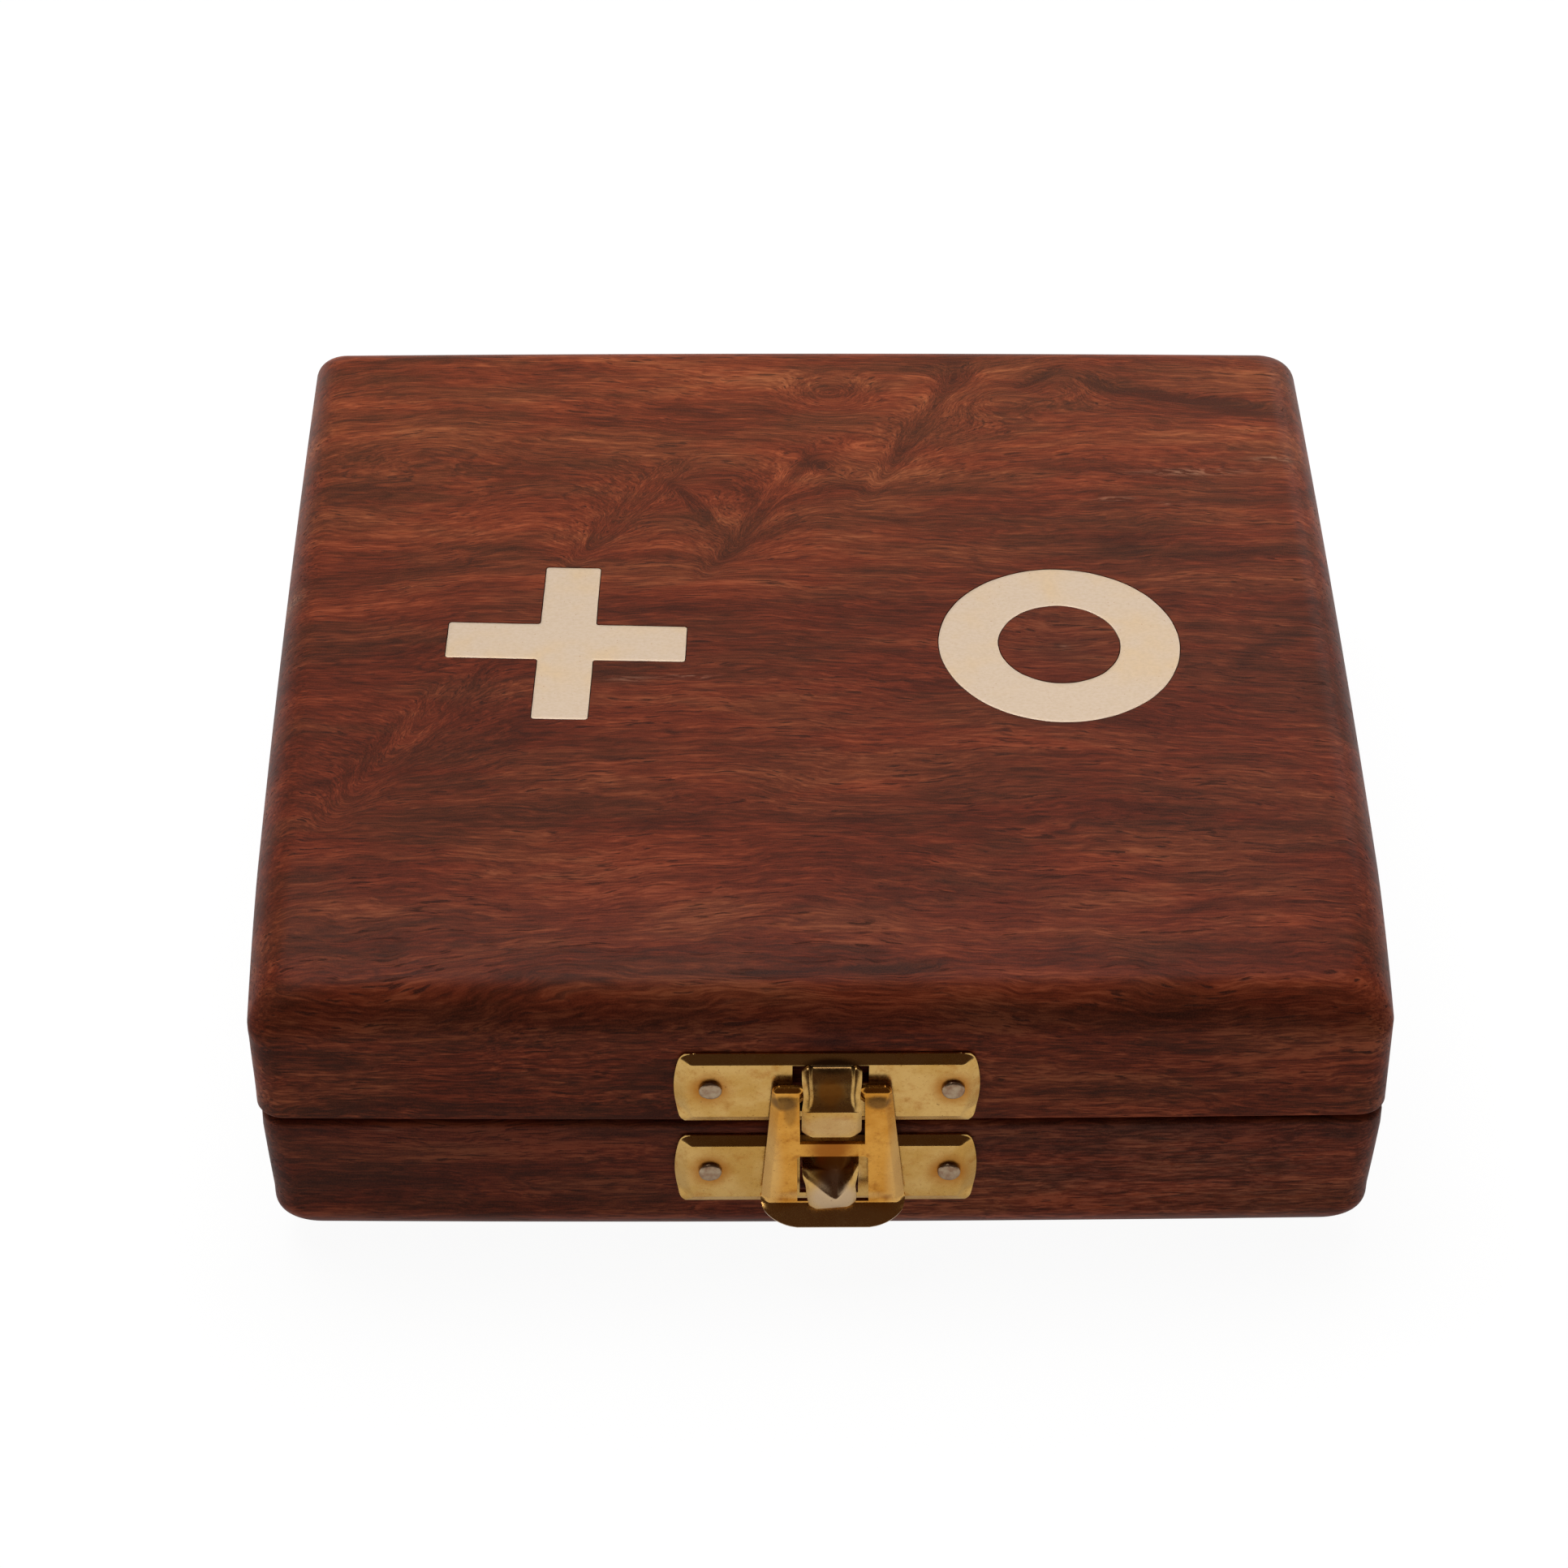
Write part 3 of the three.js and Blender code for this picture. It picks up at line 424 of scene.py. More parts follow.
# %% Sum up the rosewood
# Each layer of the grain: its length and thickness in millimetres, the detail and roughness of
# its noise, and where its pattern starts.
GRAIN = {"broad": (48, 8, 2.0, 0.5, 1.3), "band": (22, 2.2, 4.0, 0.6, 7.7),
         "streak": (7.5, 0.62, 3.0, 0.62, 3.1), "fibre": (2.6, 0.24, 3.0, 0.6, 5.9),
         "dash": (3.6, 0.34, 2.0, 0.5, 8.3), "vein": (46, 3.0, 2.0, 0.5, 2.2)}
SHADES = [(0.0, colour(50, 21, 11)), (0.3, colour(73, 31, 16)), (0.52, colour(92, 38, 21)),
          (0.75, colour(111, 50, 28)), (1.0, colour(137, 69, 42))]
DARK_LINE, GLEAM = colour(39, 19, 13), colour(146, 66, 32)
# The pale tone is for scuffs; the dark tone after it darkens wood as painted shade and painted
# reflection on the front, and in a few darker patches.
SCUFFED, DARK_PATCH_AND_SHADE = colour(176, 132, 108), colour(34, 15, 13)
GRIT_TONES = colour(48, 24, 20), colour(128, 64, 40)
HUES = (1.03, 0.91, 0.9, 1), (0.97, 1.09, 1.11, 1)
PAINTED_BACK_SHEEN, PAINTED_FRONT_LIGHT = (1.42, 1.58, 1.45, 1), (1.18, 1.2, 1.2, 1)
GRIT_SHARE, PUSH_UP_SHARE = 0.16, 0.6


def rosewood(name, drift, burls=(), creases=(), marks=()):
    """Rosewood whose streaks follow bent fibres. drift moves the pattern, so the two blocks
    differ. A mark is a place, a size and an amount: above 0 the wood there is scuffed pale, and
    below 0 it is darker, which some marks use as painted shade and painted reflection and others as
    darker patches."""
    wood = Bench(name)
    x, y, z = wood.parts(wood.at())
    push, mood = bent_fibres(wood, x, y, drift, burls, creases)
    side, up = y + push, z + PUSH_UP_SHARE * push
    broad, band, streak, fibre, dash, vein = (
        wood.noise(wood.xyz(x / length + (start + drift[0]), side / thick, up / thick), detail, rough)
        for length, thick, detail, rough, start in GRAIN.values())
    # back and front are masks for the back of the top and for the front face; they carry the painted
    # sheen and painted light below, and the front face also gets stronger streaks.
    back, front = y.rise(-8, 48), (-1 * y).rise(57.5, 60)
    streaks = (1.15 * (broad - 0.5) + 1.2 * (band - 0.5)
               + 0.95 * (streak - 0.5) + 1.3 * (fibre - 0.5))
    depth = 0.52 + streaks * (1 + 0.5 * front) + mood
    tone = wood.node("ShaderNodeValToRGB", {"stops": SHADES}, {0: depth})
    line = (1 - abs(vein - 0.5).rise(0.0, 0.016)) * broad.rise(0.60, 0.44) * 0.62
    dashes = dash.rise(0.58, 0.67) * (0.35 + 0.6 * band.rise(0.42, 0.6))
    tone = wood.mix(line.most(dashes).least(0.85), tone, DARK_LINE)
    tone = wood.mix(streak.rise(0.58, 0.72) * broad.rise(0.42, 0.62) * 0.28, tone, GLEAM)
    for (cx, cy, cz), (sx, sy, sz), amount in marks:
        near = bell(((x - cx) / sx) ** 2 + ((y - cy) / sy) ** 2 + ((z - cz) / sz) ** 2)
        # A mark above 0 is a scuff; one below 0 darkens the wood, on the front as painted shade and
        # painted reflection.
        if amount > 0:
            tone = wood.mix(near * fibre.rise(0.46, 0.56) * amount, tone, SCUFFED)
        else:
            tone = wood.mix(near * -amount, tone, DARK_PATCH_AND_SHADE)
    grit = wood.cloud((7, 7, 7), 2.0, 0.6, drift).rise(0.3, 0.7)
    tone = wood.mix(GRIT_SHARE, tone, wood.mix(grit, *GRIT_TONES))
    brown = wood.cloud((0.05, 0.17, 0.17), 3.0, 0.55, (drift[1], 7, 3)).rise(0.38, 0.62)
    tone = wood.tinted(tone, wood.mix(brown, *HUES))
    # Painted sheen: the top turns lighter and paler towards the back.
    tone = wood.mix(back, tone, wood.tinted(tone, PAINTED_BACK_SHEEN))
    # Painted light: the front face is lighter, standing in for light from the floor.
    tone = wood.mix(front, tone, wood.tinted(tone, PAINTED_FRONT_LIGHT))
    return wood.finish(
        Base_Color=tone, Specular_IOR_Level=0.045,
        Roughness=0.40 + 0.16 * (fibre - 0.5) + 0.2 * dashes,
        Normal=wood.bump(0.5 * fibre - 0.9 * dashes + 0.4 * streak, 0.22, 0.06 * MM))


print("layers of grain:", list(GRAIN))

# %% Place the figures of the grain
LID_BURLS = [
    ((2.5, 48), (4.5, 3.6), 7, -0.28), ((0.5, 33.8), (2.2, 1.5), -3, -0.6),
    ((5, 31), (1.6, 1.2), 2, -0.35), ((5.5, 36.8), (4, 2.6), 3, 0.26),
    ((22, 47.5), (6, 3.8), -6, 0.3), ((18, 51), (2.4, 3.2), 5, -0.3),
    ((30, 51), (4.5, 4.5), -6, 0.0), ((-12, 24), (5, 4), 4, 0.12),
    ((-46, 36), (9, 5), -4, 0.12), ((-39, -13.5), (4, 2.6), 0, -0.2),
    ((-47, -38), (5, 3), 0, -0.16), ((35.7, 17), (4, 2.4), 0, -0.36),
    ((40, 7.6), (3.4, 1.5), 0, -0.34), ((43, 1.6), (1.8, 1.3), 0, -0.3),
    ((44, -22), (6, 1.6), 0, -0.18), ((27, 29), (7, 2.4), 0, 0.16),
    ((2, -38), (16, 8), 0, -0.14), ((2, 44), (16, 7), 0, 0.1)]
LID_CREASES = [
    ((12, 39.5), 66, 1.1, 12, 5, -0.3), ((-6, 24), 62, 1.0, 12, 6, -0.32),
    ((-22, 23.5), 60, 1.2, 11, 6, -0.3), ((-14.5, 26.5), -58, 0.8, 5, -3, -0.35),
    ((-46, -20), 60, 1.8, 14, 5, -0.12), ((45, 47.5), -14, 1.4, 13, 1.5, -0.55),
    ((27.5, 51.5), 40, 0.9, 4, 2, -0.4), ((-2.5, -56), 1, 0.8, 15, 1, -0.5),
    ((-54, 31.2), -12, 0.5, 5.5, 0, -0.3), ((-40, 17.2), -5, 0.7, 12, 0, -0.32),
    ((-54.5, -26.5), 26, 0.6, 6, 0, -0.25), ((50, 15.4), 3, 1.0, 10, 0, -0.42),
    ((14, -45), -7, 0.6, 7.5, 0, -0.32), ((-3, -47.4), 18, 0.6, 4.5, 0, -0.3),
    ((52.3, -0.8), 39, 1.4, 7, 0, -0.3), ((42, -45.6), 26, 0.7, 6, 0, -0.22),
    # Painted light: the last crease is a band all across the top, just behind its front edge, that makes
    # the wood lighter where the top begins to turn down.
    ((0, -57.2), 0, 1.4, 400, 0, 0.17)]
LID_MARKS = [
    ((44.7, 32, 38), (5.5, 0.6, 4), 0.3), ((54.9, 34.7, 38), (2, 0.4, 4), 0.4),
    ((35.4, 26.6, 38), (2, 0.4, 4), 0.35), ((42.4, 25.6, 38), (1.6, 0.3, 4), 0.3),
    ((-21, -7.9, 38), (2.4, 0.4, 4), 0.3), ((-14.5, -7.5, 38), (2.6, 0.35, 4), 0.4),
    # Darker wood inside the ring, and a small dark spot with a pale one beside it at the ring's middle.
    ((27.2, -1.6, 38), (6.8, 7, 4), -0.42), ((27.1, -1.9, 38), (0.6, 0.5, 4), -0.5),
    ((27.9, -2.1, 38), (0.5, 0.4, 4), 0.2), ((-60, 8.7, 36.5), (1.5, 1.2, 2.5), 0.4),
    # Painted reflection: a dark patch on the front just above the upper latch plate, where the swung-up
    # flap also rubs. Painted shade: a dark band along the whole front, over the top of the front face
    # and the round above it.
    ((0.6, -60, 30.8), (3.2, 3, 1.1), -0.9), ((0, -60, 33.7), (400, 3, 1.9), -0.56),
    # A broad darker patch on the right of the front.
    ((38, -60, 26), (22, 3, 6), -0.14)]
BASE_MARKS = [
    # A pale chip on the top edge of the base. Painted shadow: a dark band along the whole front just
    # under the seam, where the lid shades the base.
    ((-46.5, -60, 18.3), (1.3, 3, 0.25), 0.3), ((0, -60, 18.2), (400, 3, 2.2), -0.42),
    # The left of the base's front is darker, and its right a little paler.
    ((-38, -60, 10), (38, 4, 13), -0.36), ((38, -60, 11), (22, 4, 9), 0.08)]
LID_DRIFT, BASE_DRIFT = (3.7, 1.9, 8.2), (11.3, 6.1, 2.4)
LID_WOOD = rosewood("rosewood of the lid", LID_DRIFT, LID_BURLS, LID_CREASES, LID_MARKS)
BASE_WOOD = rosewood("rosewood of the base", BASE_DRIFT, marks=BASE_MARKS)
print("two rosewoods, nodes:", len(LID_WOOD.node_tree.nodes), len(BASE_WOOD.node_tree.nodes))

# %% [markdown]
# ## The two carved blocks
# Each half was carved from one block and sanded by hand, so every outer edge is round and the
# sides stand a little proud at their middles. A ring round the box is a square with round
# corners; a list of insets and heights says where the rings go, from the middle of the lid
# over its edge, down its side, and up again inside the hollow.

# %% Walk round the box
WIDTH, DEPTH, HEIGHT = 120.65, 120.65, 38.1
SEAM, SEAM_GAP, SEAM_CLIMB = 18.6, 0.3, 0.9
CORNERS, BOW, HOLLOW_CORNERS = (2.6, 1.7, 3.0, 3.0), 0.45, (3, 3, 3, 3)
WALL, LID_THICK, FLOOR_THICK = 7.0, 6.5, 4.0
CORNER_STEPS, SIDE_STEPS = 14, 44
FRONT_FALL, CORNER_FALL, TOE_RISE = 2.5, 1.5, 1.15


def block_ring(half_x, half_y, radii, bow):
    """A square with round corners, walked once round from the right back one: quarter circles
    joined by straight stretches. Then x is drawn in by bow (y / half_y)^2, and y by
    bow (x / half_x)^2, so that the middles of the sides stand proud."""
    corners = []
    for k, ((sx, sy), radius) in enumerate(zip([(1, 1), (-1, 1), (-1, -1), (1, -1)], radii)):
        centre = sx * (half_x - radius), sy * (half_y - radius)
        corners.append(arc(centre, radius, 90 * k, 90 * k + 90, CORNER_STEPS))
    share = np.linspace(0, 1, SIDE_STEPS + 2)[1:-1, None]
    stretches = []
    for corner, following in zip(corners, corners[1:] + corners[:1]):
        stretches += [corner, corner[-1] * (1 - share) + following[0] * share]
    x, y = np.concatenate(stretches).T
    return np.stack([x * (1 - bow / half_x * (y / half_y) ** 2),
                     y * (1 - bow / half_y * (x / half_x) ** 2)], -1)


def quarter_profile(radius, inset, height, way_up, steps):
    """A quarter round between a level face and a side, as insets and heights. It starts on the
    face where the face looks up (way_up -1), and ends there where it looks down (1)."""
    turn = np.linspace(0, np.pi / 2, steps)
    pairs = np.stack([inset + radius * (1 - np.sin(turn)),
                      height + way_up * radius * (1 - np.cos(turn))], -1)
    return pairs if way_up < 0 else pairs[::-1]


def sanded_away(x, y):
    """How far the lid's top falls: FRONT_FALL t^2 over the front third, and CORNER_FALL t u^2
    more in the two front corners, t and u growing from 0 to 1 to the front and to the sides."""
    t, u = ramp(-y, 37, 23.3), ramp(np.abs(x), 40, 20)
    return FRONT_FALL * t ** 2 + CORNER_FALL * t * u ** 2


def toe(y):
    """How far the underside rises towards the front: TOE_RISE t^2, t growing from 0 to 1 over
    the last 16 mm."""
    return TOE_RISE * ramp(-y, 44.3, 16) ** 2


print("points in a ring round the box:", len(block_ring(WIDTH / 2, DEPTH / 2, CORNERS, BOW)))

# %% Carve the lid and the base
LID_SHIFT, LID_LEAN, BASE_TRIM = -0.3, 0.35, 0.5
LID_ROUND_IN, LID_ROUND_DOWN, LID_ROUND_TURN = 4.3, 3.9, 1.26
LID_EDGE, BASE_EDGE, SEAM_LIP, SIDE_END = 0.45, 0.9, 2.2, 2.4
BASE_ROUND, BASE_DRAFT, BASE_SLOPE, BASE_SIDE_LOW = 6.2, 0.62, 0.6 / 8.6, 7.4


def outside(half_x, profile, shift=0.0, lean=0.0):
    """Rings of a block's outside, whose insets count from the bowed sides. The left side leans
    in by lean towards the seam, and the underside rises to the front."""
    rings = []
    for inset, z in profile:
        x, y = block_ring(half_x - inset, DEPTH / 2 - inset, CORNERS, BOW).T
        x = x + shift + lean * (x < 0) * smooth_step(-z, -HEIGHT + 5, -SEAM)
        rings.append(np.stack([x, y, z + toe(y) * smooth_step(-z, -7, -1)], -1))
    return rings


def hollow(rim, end, way):
    """Rings of a block's hollow from its eased rim to its flat end, way 1 going up and -1 down."""
    profile = [(-0.5, rim), (0, rim + 0.5 * way), (0, end - 1.5 * way), (0.5, end - 0.5 * way),
               (1.5, end), (6, end)]
    return [level_ring(block_ring(WIDTH / 2 - WALL - inset, DEPTH / 2 - WALL - inset,
                                  HOLLOW_CORNERS, 0), z) for inset, z in profile]


def worn(rings):
    """The top falls to the front, and the seam climbs by SEAM_CLIMB from the back to the front."""
    x, y, z = np.moveaxis(np.array(rings), -1, 0)
    fall = sanded_away(x, y) * smooth_step(z, HEIGHT - 9.5, HEIGHT - LID_ROUND_DOWN)
    climb = SEAM_CLIMB * (0.5 - y / DEPTH) * (1 - smooth_step(np.abs(z - SEAM), 0.2, 8))
    return np.stack([x, y, z - fall + climb], -1)


lid_bottom, base_top = SEAM + SEAM_GAP / 2, SEAM - SEAM_GAP / 2
turn = np.linspace(0, LID_ROUND_TURN, 18)
sanded_top = np.stack([
    LID_ROUND_IN * (1 - np.sin(turn) / np.sin(LID_ROUND_TURN)),
    HEIGHT - LID_ROUND_DOWN * (1 - np.cos(turn)) / (1 - np.cos(LID_ROUND_TURN))], -1)
lid_profile = np.concatenate([
    [(inset, HEIGHT) for inset in (*range(24, 6, -2), 6.4, 5.2)],
    sanded_top,
    [(0, z) for z in np.linspace(HEIGHT - 6, lid_bottom + SIDE_END, 8)],
    quarter_profile(LID_EDGE, 0, lid_bottom, 1, 8),
    [(SEAM_LIP, lid_bottom)]])
side_high = base_top - SIDE_END
base_profile = np.concatenate([
    [(SEAM_LIP, base_top)],
    quarter_profile(BASE_EDGE, 0, base_top, -1, 8),
    [(BASE_SLOPE * (side_high - z), z) for z in np.linspace(side_high, BASE_SIDE_LOW, 6)],
    quarter_profile(BASE_ROUND, BASE_DRAFT, 0, 1, 22),
    [(8, 0), (12, 0)]])
lid_rings = worn(outside(WIDTH / 2, lid_profile, LID_SHIFT, LID_LEAN)
                 + hollow(lid_bottom, HEIGHT - LID_THICK, 1))
base_rings = worn(hollow(base_top, FLOOR_THICK, -1)[::-1]
                  + outside(WIDTH / 2 - BASE_TRIM, base_profile))
lid = piece_from("lid_of_rosewood", *ring_stack(lid_rings), LID_WOOD, "lid", ["lid_block"], "rosewood")
base = piece_from("base_of_rosewood", *ring_stack(base_rings), BASE_WOOD, "base", ["base_block"],
                  "rosewood")
print("lid faces", len(lid.data.polygons), "base faces", len(base.data.polygons))

# %% [markdown]
# ## Brass let in flush
# The cross and the ring were sawn by hand from sheet brass, so their outlines waver by a few
# hundredths of a millimetre. The same outline, grown by nearly a tenth of a millimetre, is cut
# out of the lid, which leaves the fine dark line round each inlay.

# %% Draw the outlines
INLAY_THICK, INLAY_GAP, INLAY_APART, INLAY_Y = 1.2, 0.09, 55.6, -1.3
CROSS_AT, RING_AT = (np.array([LID_SHIFT + way * INLAY_APART / 2, INLAY_Y]) for way in (-1, 1))
CROSS_SIZE, CROSS_ARM, CROSS_BEND, CROSS_TURN = 27.6, 6.4, 0.35, -2
CROSS_STRETCH, CROSS_NUDGE = (0.975, 1.02), (-0.05, 0.25)
RING_OUTER, RING_INNER = 13.8, 7.0
RING_STRETCH, RING_NUDGE = (0.985, 1.03), (-0.15, -0.3)
LEAST_BEND, CROSS_WAVER, CROSS_SEED, RING_WAVER = 0.05, 0.035, 4, 0.04


def wavering(outline, amount, seed):
    """An outline moved in and out along its normals by a few slow sines of its own length."""
    step = np.roll(outline, -1, 0) - np.roll(outline, 1, 0)
    normal = np.stack([step[:, 1], -step[:, 0]], -1)
    normal /= np.linalg.norm(normal, axis=1)[:, None]
    length = np.cumsum(np.linalg.norm(np.roll(outline, -1, 0) - outline, axis=1))
    share = 2 * np.pi * length / length[-1]
    draws = np.random.default_rng(seed)
    waves = sum(np.sin(k * share + draws.uniform(0, 6.3)) * draws.uniform(0.4, 1) / k ** 0.5
                for k in (3, 5, 8, 13, 21, 34))
    return outline + normal * (amount * waves)[:, None]


def cross_outline(size, arm, bend, grow):
    """An upright cross whose corners are quarter circles, grown on every side: one arm, turned
    four times."""
    reach, half_arm = size / 2 + grow, arm / 2 + grow
    outer, inner = max(bend + grow, LEAST_BEND), max(bend - grow, LEAST_BEND)
    tip, side, nook = reach - outer, half_arm - outer, half_arm + inner
    run, end = np.linspace(tip, nook, 30)[1:-1], np.linspace(side, -side, 16)[1:-1]
    edge = np.full(len(run), half_arm)
    quarter = np.concatenate([
        arc((tip, side), outer, 0, 90, 6), np.stack([run, edge], -1),
        arc((nook, nook), inner, -90, -180, 6), np.stack([edge, run[::-1]], -1),
        arc((side, tip), outer, 0, 90, 6), np.stack([end, np.full(len(end), reach)], -1)])
    return np.concatenate([turned(quarter, 90 * k) for k in range(4)])


def circle_outline(radius, steps=200):
    """A circle walked once round, without its first point repeated."""
    return arc((0, 0), radius, 0, 360, steps + 1)[:-1]


def cross_at(grow):
    """The cross as it was sawn and let in, grown on every side."""
    drawn = cross_outline(CROSS_SIZE, CROSS_ARM, CROSS_BEND, grow)
    sawn = wavering(drawn, CROSS_WAVER, CROSS_SEED)
    return turned(sawn * CROSS_STRETCH + CROSS_NUDGE, CROSS_TURN) + CROSS_AT


def ring_walls(insets):
    """Outlines down the outside of the ring and up its inside, each grown by its inset."""
    grown = [(RING_OUTER, inset) for inset in insets]
    grown += [(RING_INNER, -inset) for inset in insets[::-1]]
    sawn = [wavering(circle_outline(radius + grow), RING_WAVER, int(radius)) for radius, grow in grown]
    return [outline * RING_STRETCH + RING_AT + RING_NUDGE for outline in sawn]


print("points in the cross and the ring:", len(cross_at(0)), len(ring_walls([0])[0]))

# %% Saw the inlays and cut their pockets
PALE_BRASS, WARM_BRASS = colour(188, 168, 147), colour(192, 166, 133)
DULL_BRASS, SPECK = colour(178, 156, 128), colour(150, 108, 60)


def inlay_brass():
    """Sanded brass: pale, a little warmer in clouds, with fine dark specks."""
    brass = Bench("inlay brass")
    clouds = brass.cloud((0.12, 0.12, 0.12), 3.0, 0.6, (4, 2, 0))
    fine = brass.cloud((2.2, 3.4, 2.2), 3.0, 0.65)
    specks = brass.cloud((3.1, 3.1, 3.1), 1.0, 0.4, (7, 1, 3)).rise(0.72, 0.80)
    tint = brass.mix(clouds.rise(0.45, 0.75), PALE_BRASS, WARM_BRASS)
    tint = brass.mix(fine.rise(0.35, 0.7) * 0.5, tint, DULL_BRASS)
    tint = brass.mix(specks * 0.6, tint, SPECK)
    return brass.finish(Base_Color=tint, Metallic=0.55, Roughness=0.5 + 0.12 * (fine - 0.5),
                        Normal=brass.bump(fine, 0.12, 0.02 * MM))


def cut_from(piece, *cutters):
    """Takes closed shapes away from a piece, then drops them."""
    for cutter in cutters:
        cut = piece.modifiers.new("cut", "BOOLEAN")
        cut.operation, cut.solver, cut.object = "DIFFERENCE", "EXACT", cutter
    settle(piece)
    for cutter in cutters:
        bpy.data.objects.remove(cutter)


INLAY_BRASS = inlay_brass()
top_z = HEIGHT - 0.015
levels = [top_z, top_z, top_z - 0.015, top_z - 0.06, HEIGHT - INLAY_THICK]
insets = [-0.4, -0.06, -0.015, 0, 0]
cross_parts = prism([cross_at(inset) for inset in insets], levels)
ring_parts = prism(ring_walls(insets), levels + levels[::-1], closed=True)
piece_from("cross_of_brass", *cross_parts, INLAY_BRASS, "lid", ["cross_inlay"], "inlay_brass")
piece_from("ring_of_brass", *ring_parts, INLAY_BRASS, "lid", ["ring_inlay"], "inlay_brass")

gaps, depths = [INLAY_GAP] * 2, [HEIGHT + 1, HEIGHT - INLAY_THICK - 0.02]
pocket_parts = prism([cross_at(gap) for gap in gaps], depths)
cross_pocket = piece_from("cross_pocket", *pocket_parts, LID_WOOD, None)
pocket_parts = prism(ring_walls(gaps), depths + depths[::-1], closed=True)
ring_pocket = piece_from("ring_pocket", *pocket_parts, LID_WOOD, None)
cut_from(lid, cross_pocket, ring_pocket)
lid.data.set_sharp_from_angle(angle=CREASE)
print("lid with pockets:", len(lid.data.polygons), "faces")

# %% [markdown]
# ## Places on the front and on the back
# The latch and the hinges are drawn flat, as seen by someone who faces them: across, up, and
# out of the box. Two small functions put such drawings on the front and on the back.

# %% Turn drawings to the front and the back
LATCH_X = 0.6


def on_front(points):
    """Drawn points on the front: across from the latch's middle, up, and out of the wood."""
    across, up, out = np.moveaxis(np.asarray(points, float), -1, 0)
    return np.stack([LATCH_X + across, -DEPTH / 2 - out, up], -1)


def on_back(points, middle):
    """The same on the back, where across runs the other way from a hinge's middle."""
    across, up, out = np.moveaxis(np.asarray(points, float), -1, 0)
    return np.stack([middle - across, DEPTH / 2 + out, up], -1)


def lines(*stretches):
    """Grid lines: each stretch is (from, to, how many steps), and shared ends appear once."""
    return np.unique(np.round(np.concatenate([np.linspace(a, b, n + 1) for a, b, n in stretches]), 6))


print("a pin place on the front:", on_front([[-12.7, 25, 1]]).round(2).tolist())

# %% [markdown]
# ## Pressed brass plates
# Each latch plate is stamped from sheet into a shallow pan: flat in the middle, with an edge
# that falls to the wood over nearly a millimetre, and bowed ends. The height over the wood is
# a function of how far a point lies from the outline. On the upper plate two slots are left
# open beside the tongue, and on both the sheet behind the tongue or hook is cut away.

# %% Press the two plates
PLATE_HALF, PLATE_TALL, PLATE_RISE, SHEET = 16.03, 4.45, 1.1, 0.5
PLATE_SHIFT, PLATE_STRAIGHT, PLATE_FLAT = -0.35, 14, 3.3
BEVEL, ROUNDNESS, END_BOW, END_ROUND, END_COUNT, BOTTOM_COUNT = 0.9, 2.4, 0.72, 0.42, 0.72, 1.5
RIM_LOW, RIM_RISE, BEVEL_STEP, DIMPLE, DIMPLE_REACH = 0.28, 0.5, 0.09, 0.1, 1.7
UPPER_Y, LOWER_Y = 24.95, 13.4
PINS = [(-12.55, UPPER_Y + 0.15), (12.85, UPPER_Y + 0.15), (-12.6, LOWER_Y + 0.05), (12.7, LOWER_Y)]
# What is cut away behind the tongue and the hook: left, right, bottom and top.
UPPER_OPENINGS = [(-3.85, 3.15, -2.9, 3.5), (-4.0, 4.0, 1.1, 3.5)]
LOWER_OPENINGS = [(-3.1, 3.1, -3.1, 3.3)]


def middles(grid):
    """The middle of each quad of a grid, half way between two opposite corners."""
    return (grid[:-1, :-1] + grid[1:, 1:]) / 2


def pressed_plate(centre, openings, up_lines, across_lines):
    """The height is the rim plus the rise times 1 - s^1.08, where s = (a^r + b^r)^(1 / r), r is
    ROUNDNESS, a is 1 - distance / BEVEL for the ends and the bottom and b the same for the top,
    so that the corners are round; less a fine step where the bevel starts and a dimple at each
    pin. A distance counts END_COUNT times at the ends, whose bevel is so much wider, and
    BOTTOM_COUNT times at the bottom, where the rim is higher too."""
    tall = lines((-PLATE_TALL, -PLATE_FLAT, 12), (-PLATE_FLAT, PLATE_FLAT, 24),
                 (PLATE_FLAT, PLATE_TALL, 12), *up_lines)
    inner = lines((-PLATE_STRAIGHT, PLATE_STRAIGHT, 70), *across_lines)
    ends = np.linspace(0, 1, 17)[1:]
    up = np.repeat(tall[:, None], len(inner) + 2 * len(ends), 1)
    share = np.abs(tall) / PLATE_TALL
    half = (PLATE_HALF - END_BOW * share ** 2 - END_ROUND * share ** 14)[:, None]
    bowed = PLATE_STRAIGHT + (half - PLATE_STRAIGHT) * ends
    across = np.concatenate([-bowed[:, ::-1], np.repeat(inner[None], len(tall), 0), bowed], 1)
    to_end = np.minimum((half - np.abs(across)) * END_COUNT, (PLATE_TALL + up) * BOTTOM_COUNT)
    by_end, by_top = 1 - ramp(to_end, 0, BEVEL), 1 - ramp(PLATE_TALL - up, 0, BEVEL)
    slope = np.minimum((by_end ** ROUNDNESS + by_top ** ROUNDNESS) ** (1 / ROUNDNESS), 1)
    step = BEVEL_STEP * smooth_step(-to_end, -1.12, -0.86)
    rim = RIM_LOW + RIM_RISE * smooth_step(-up, 2.6, 4.0)
    out = rim + (PLATE_RISE - rim) * (1 - slope ** 1.08) - step * (1 - slope)
    across = across + PLATE_SHIFT
    for pin_across, pin_up in PINS:
        away = np.hypot(across - pin_across, up + centre - pin_up)
        out = out - DIMPLE * np.exp(-(away / DIMPLE_REACH) ** 2)
    a, u = middles(across), middles(up)
    keep = np.ones(a.shape, bool)
    for left, right_end, bottom, top in openings:
        keep &= (a <= left) | (a >= right_end) | (u <= bottom) | (u >= top)
    front, behind = (np.stack([across, up + centre, side], -1)
                     for side in (out, np.maximum(out - SHEET, 0)))
    return sheet_skin(front, behind, keep)


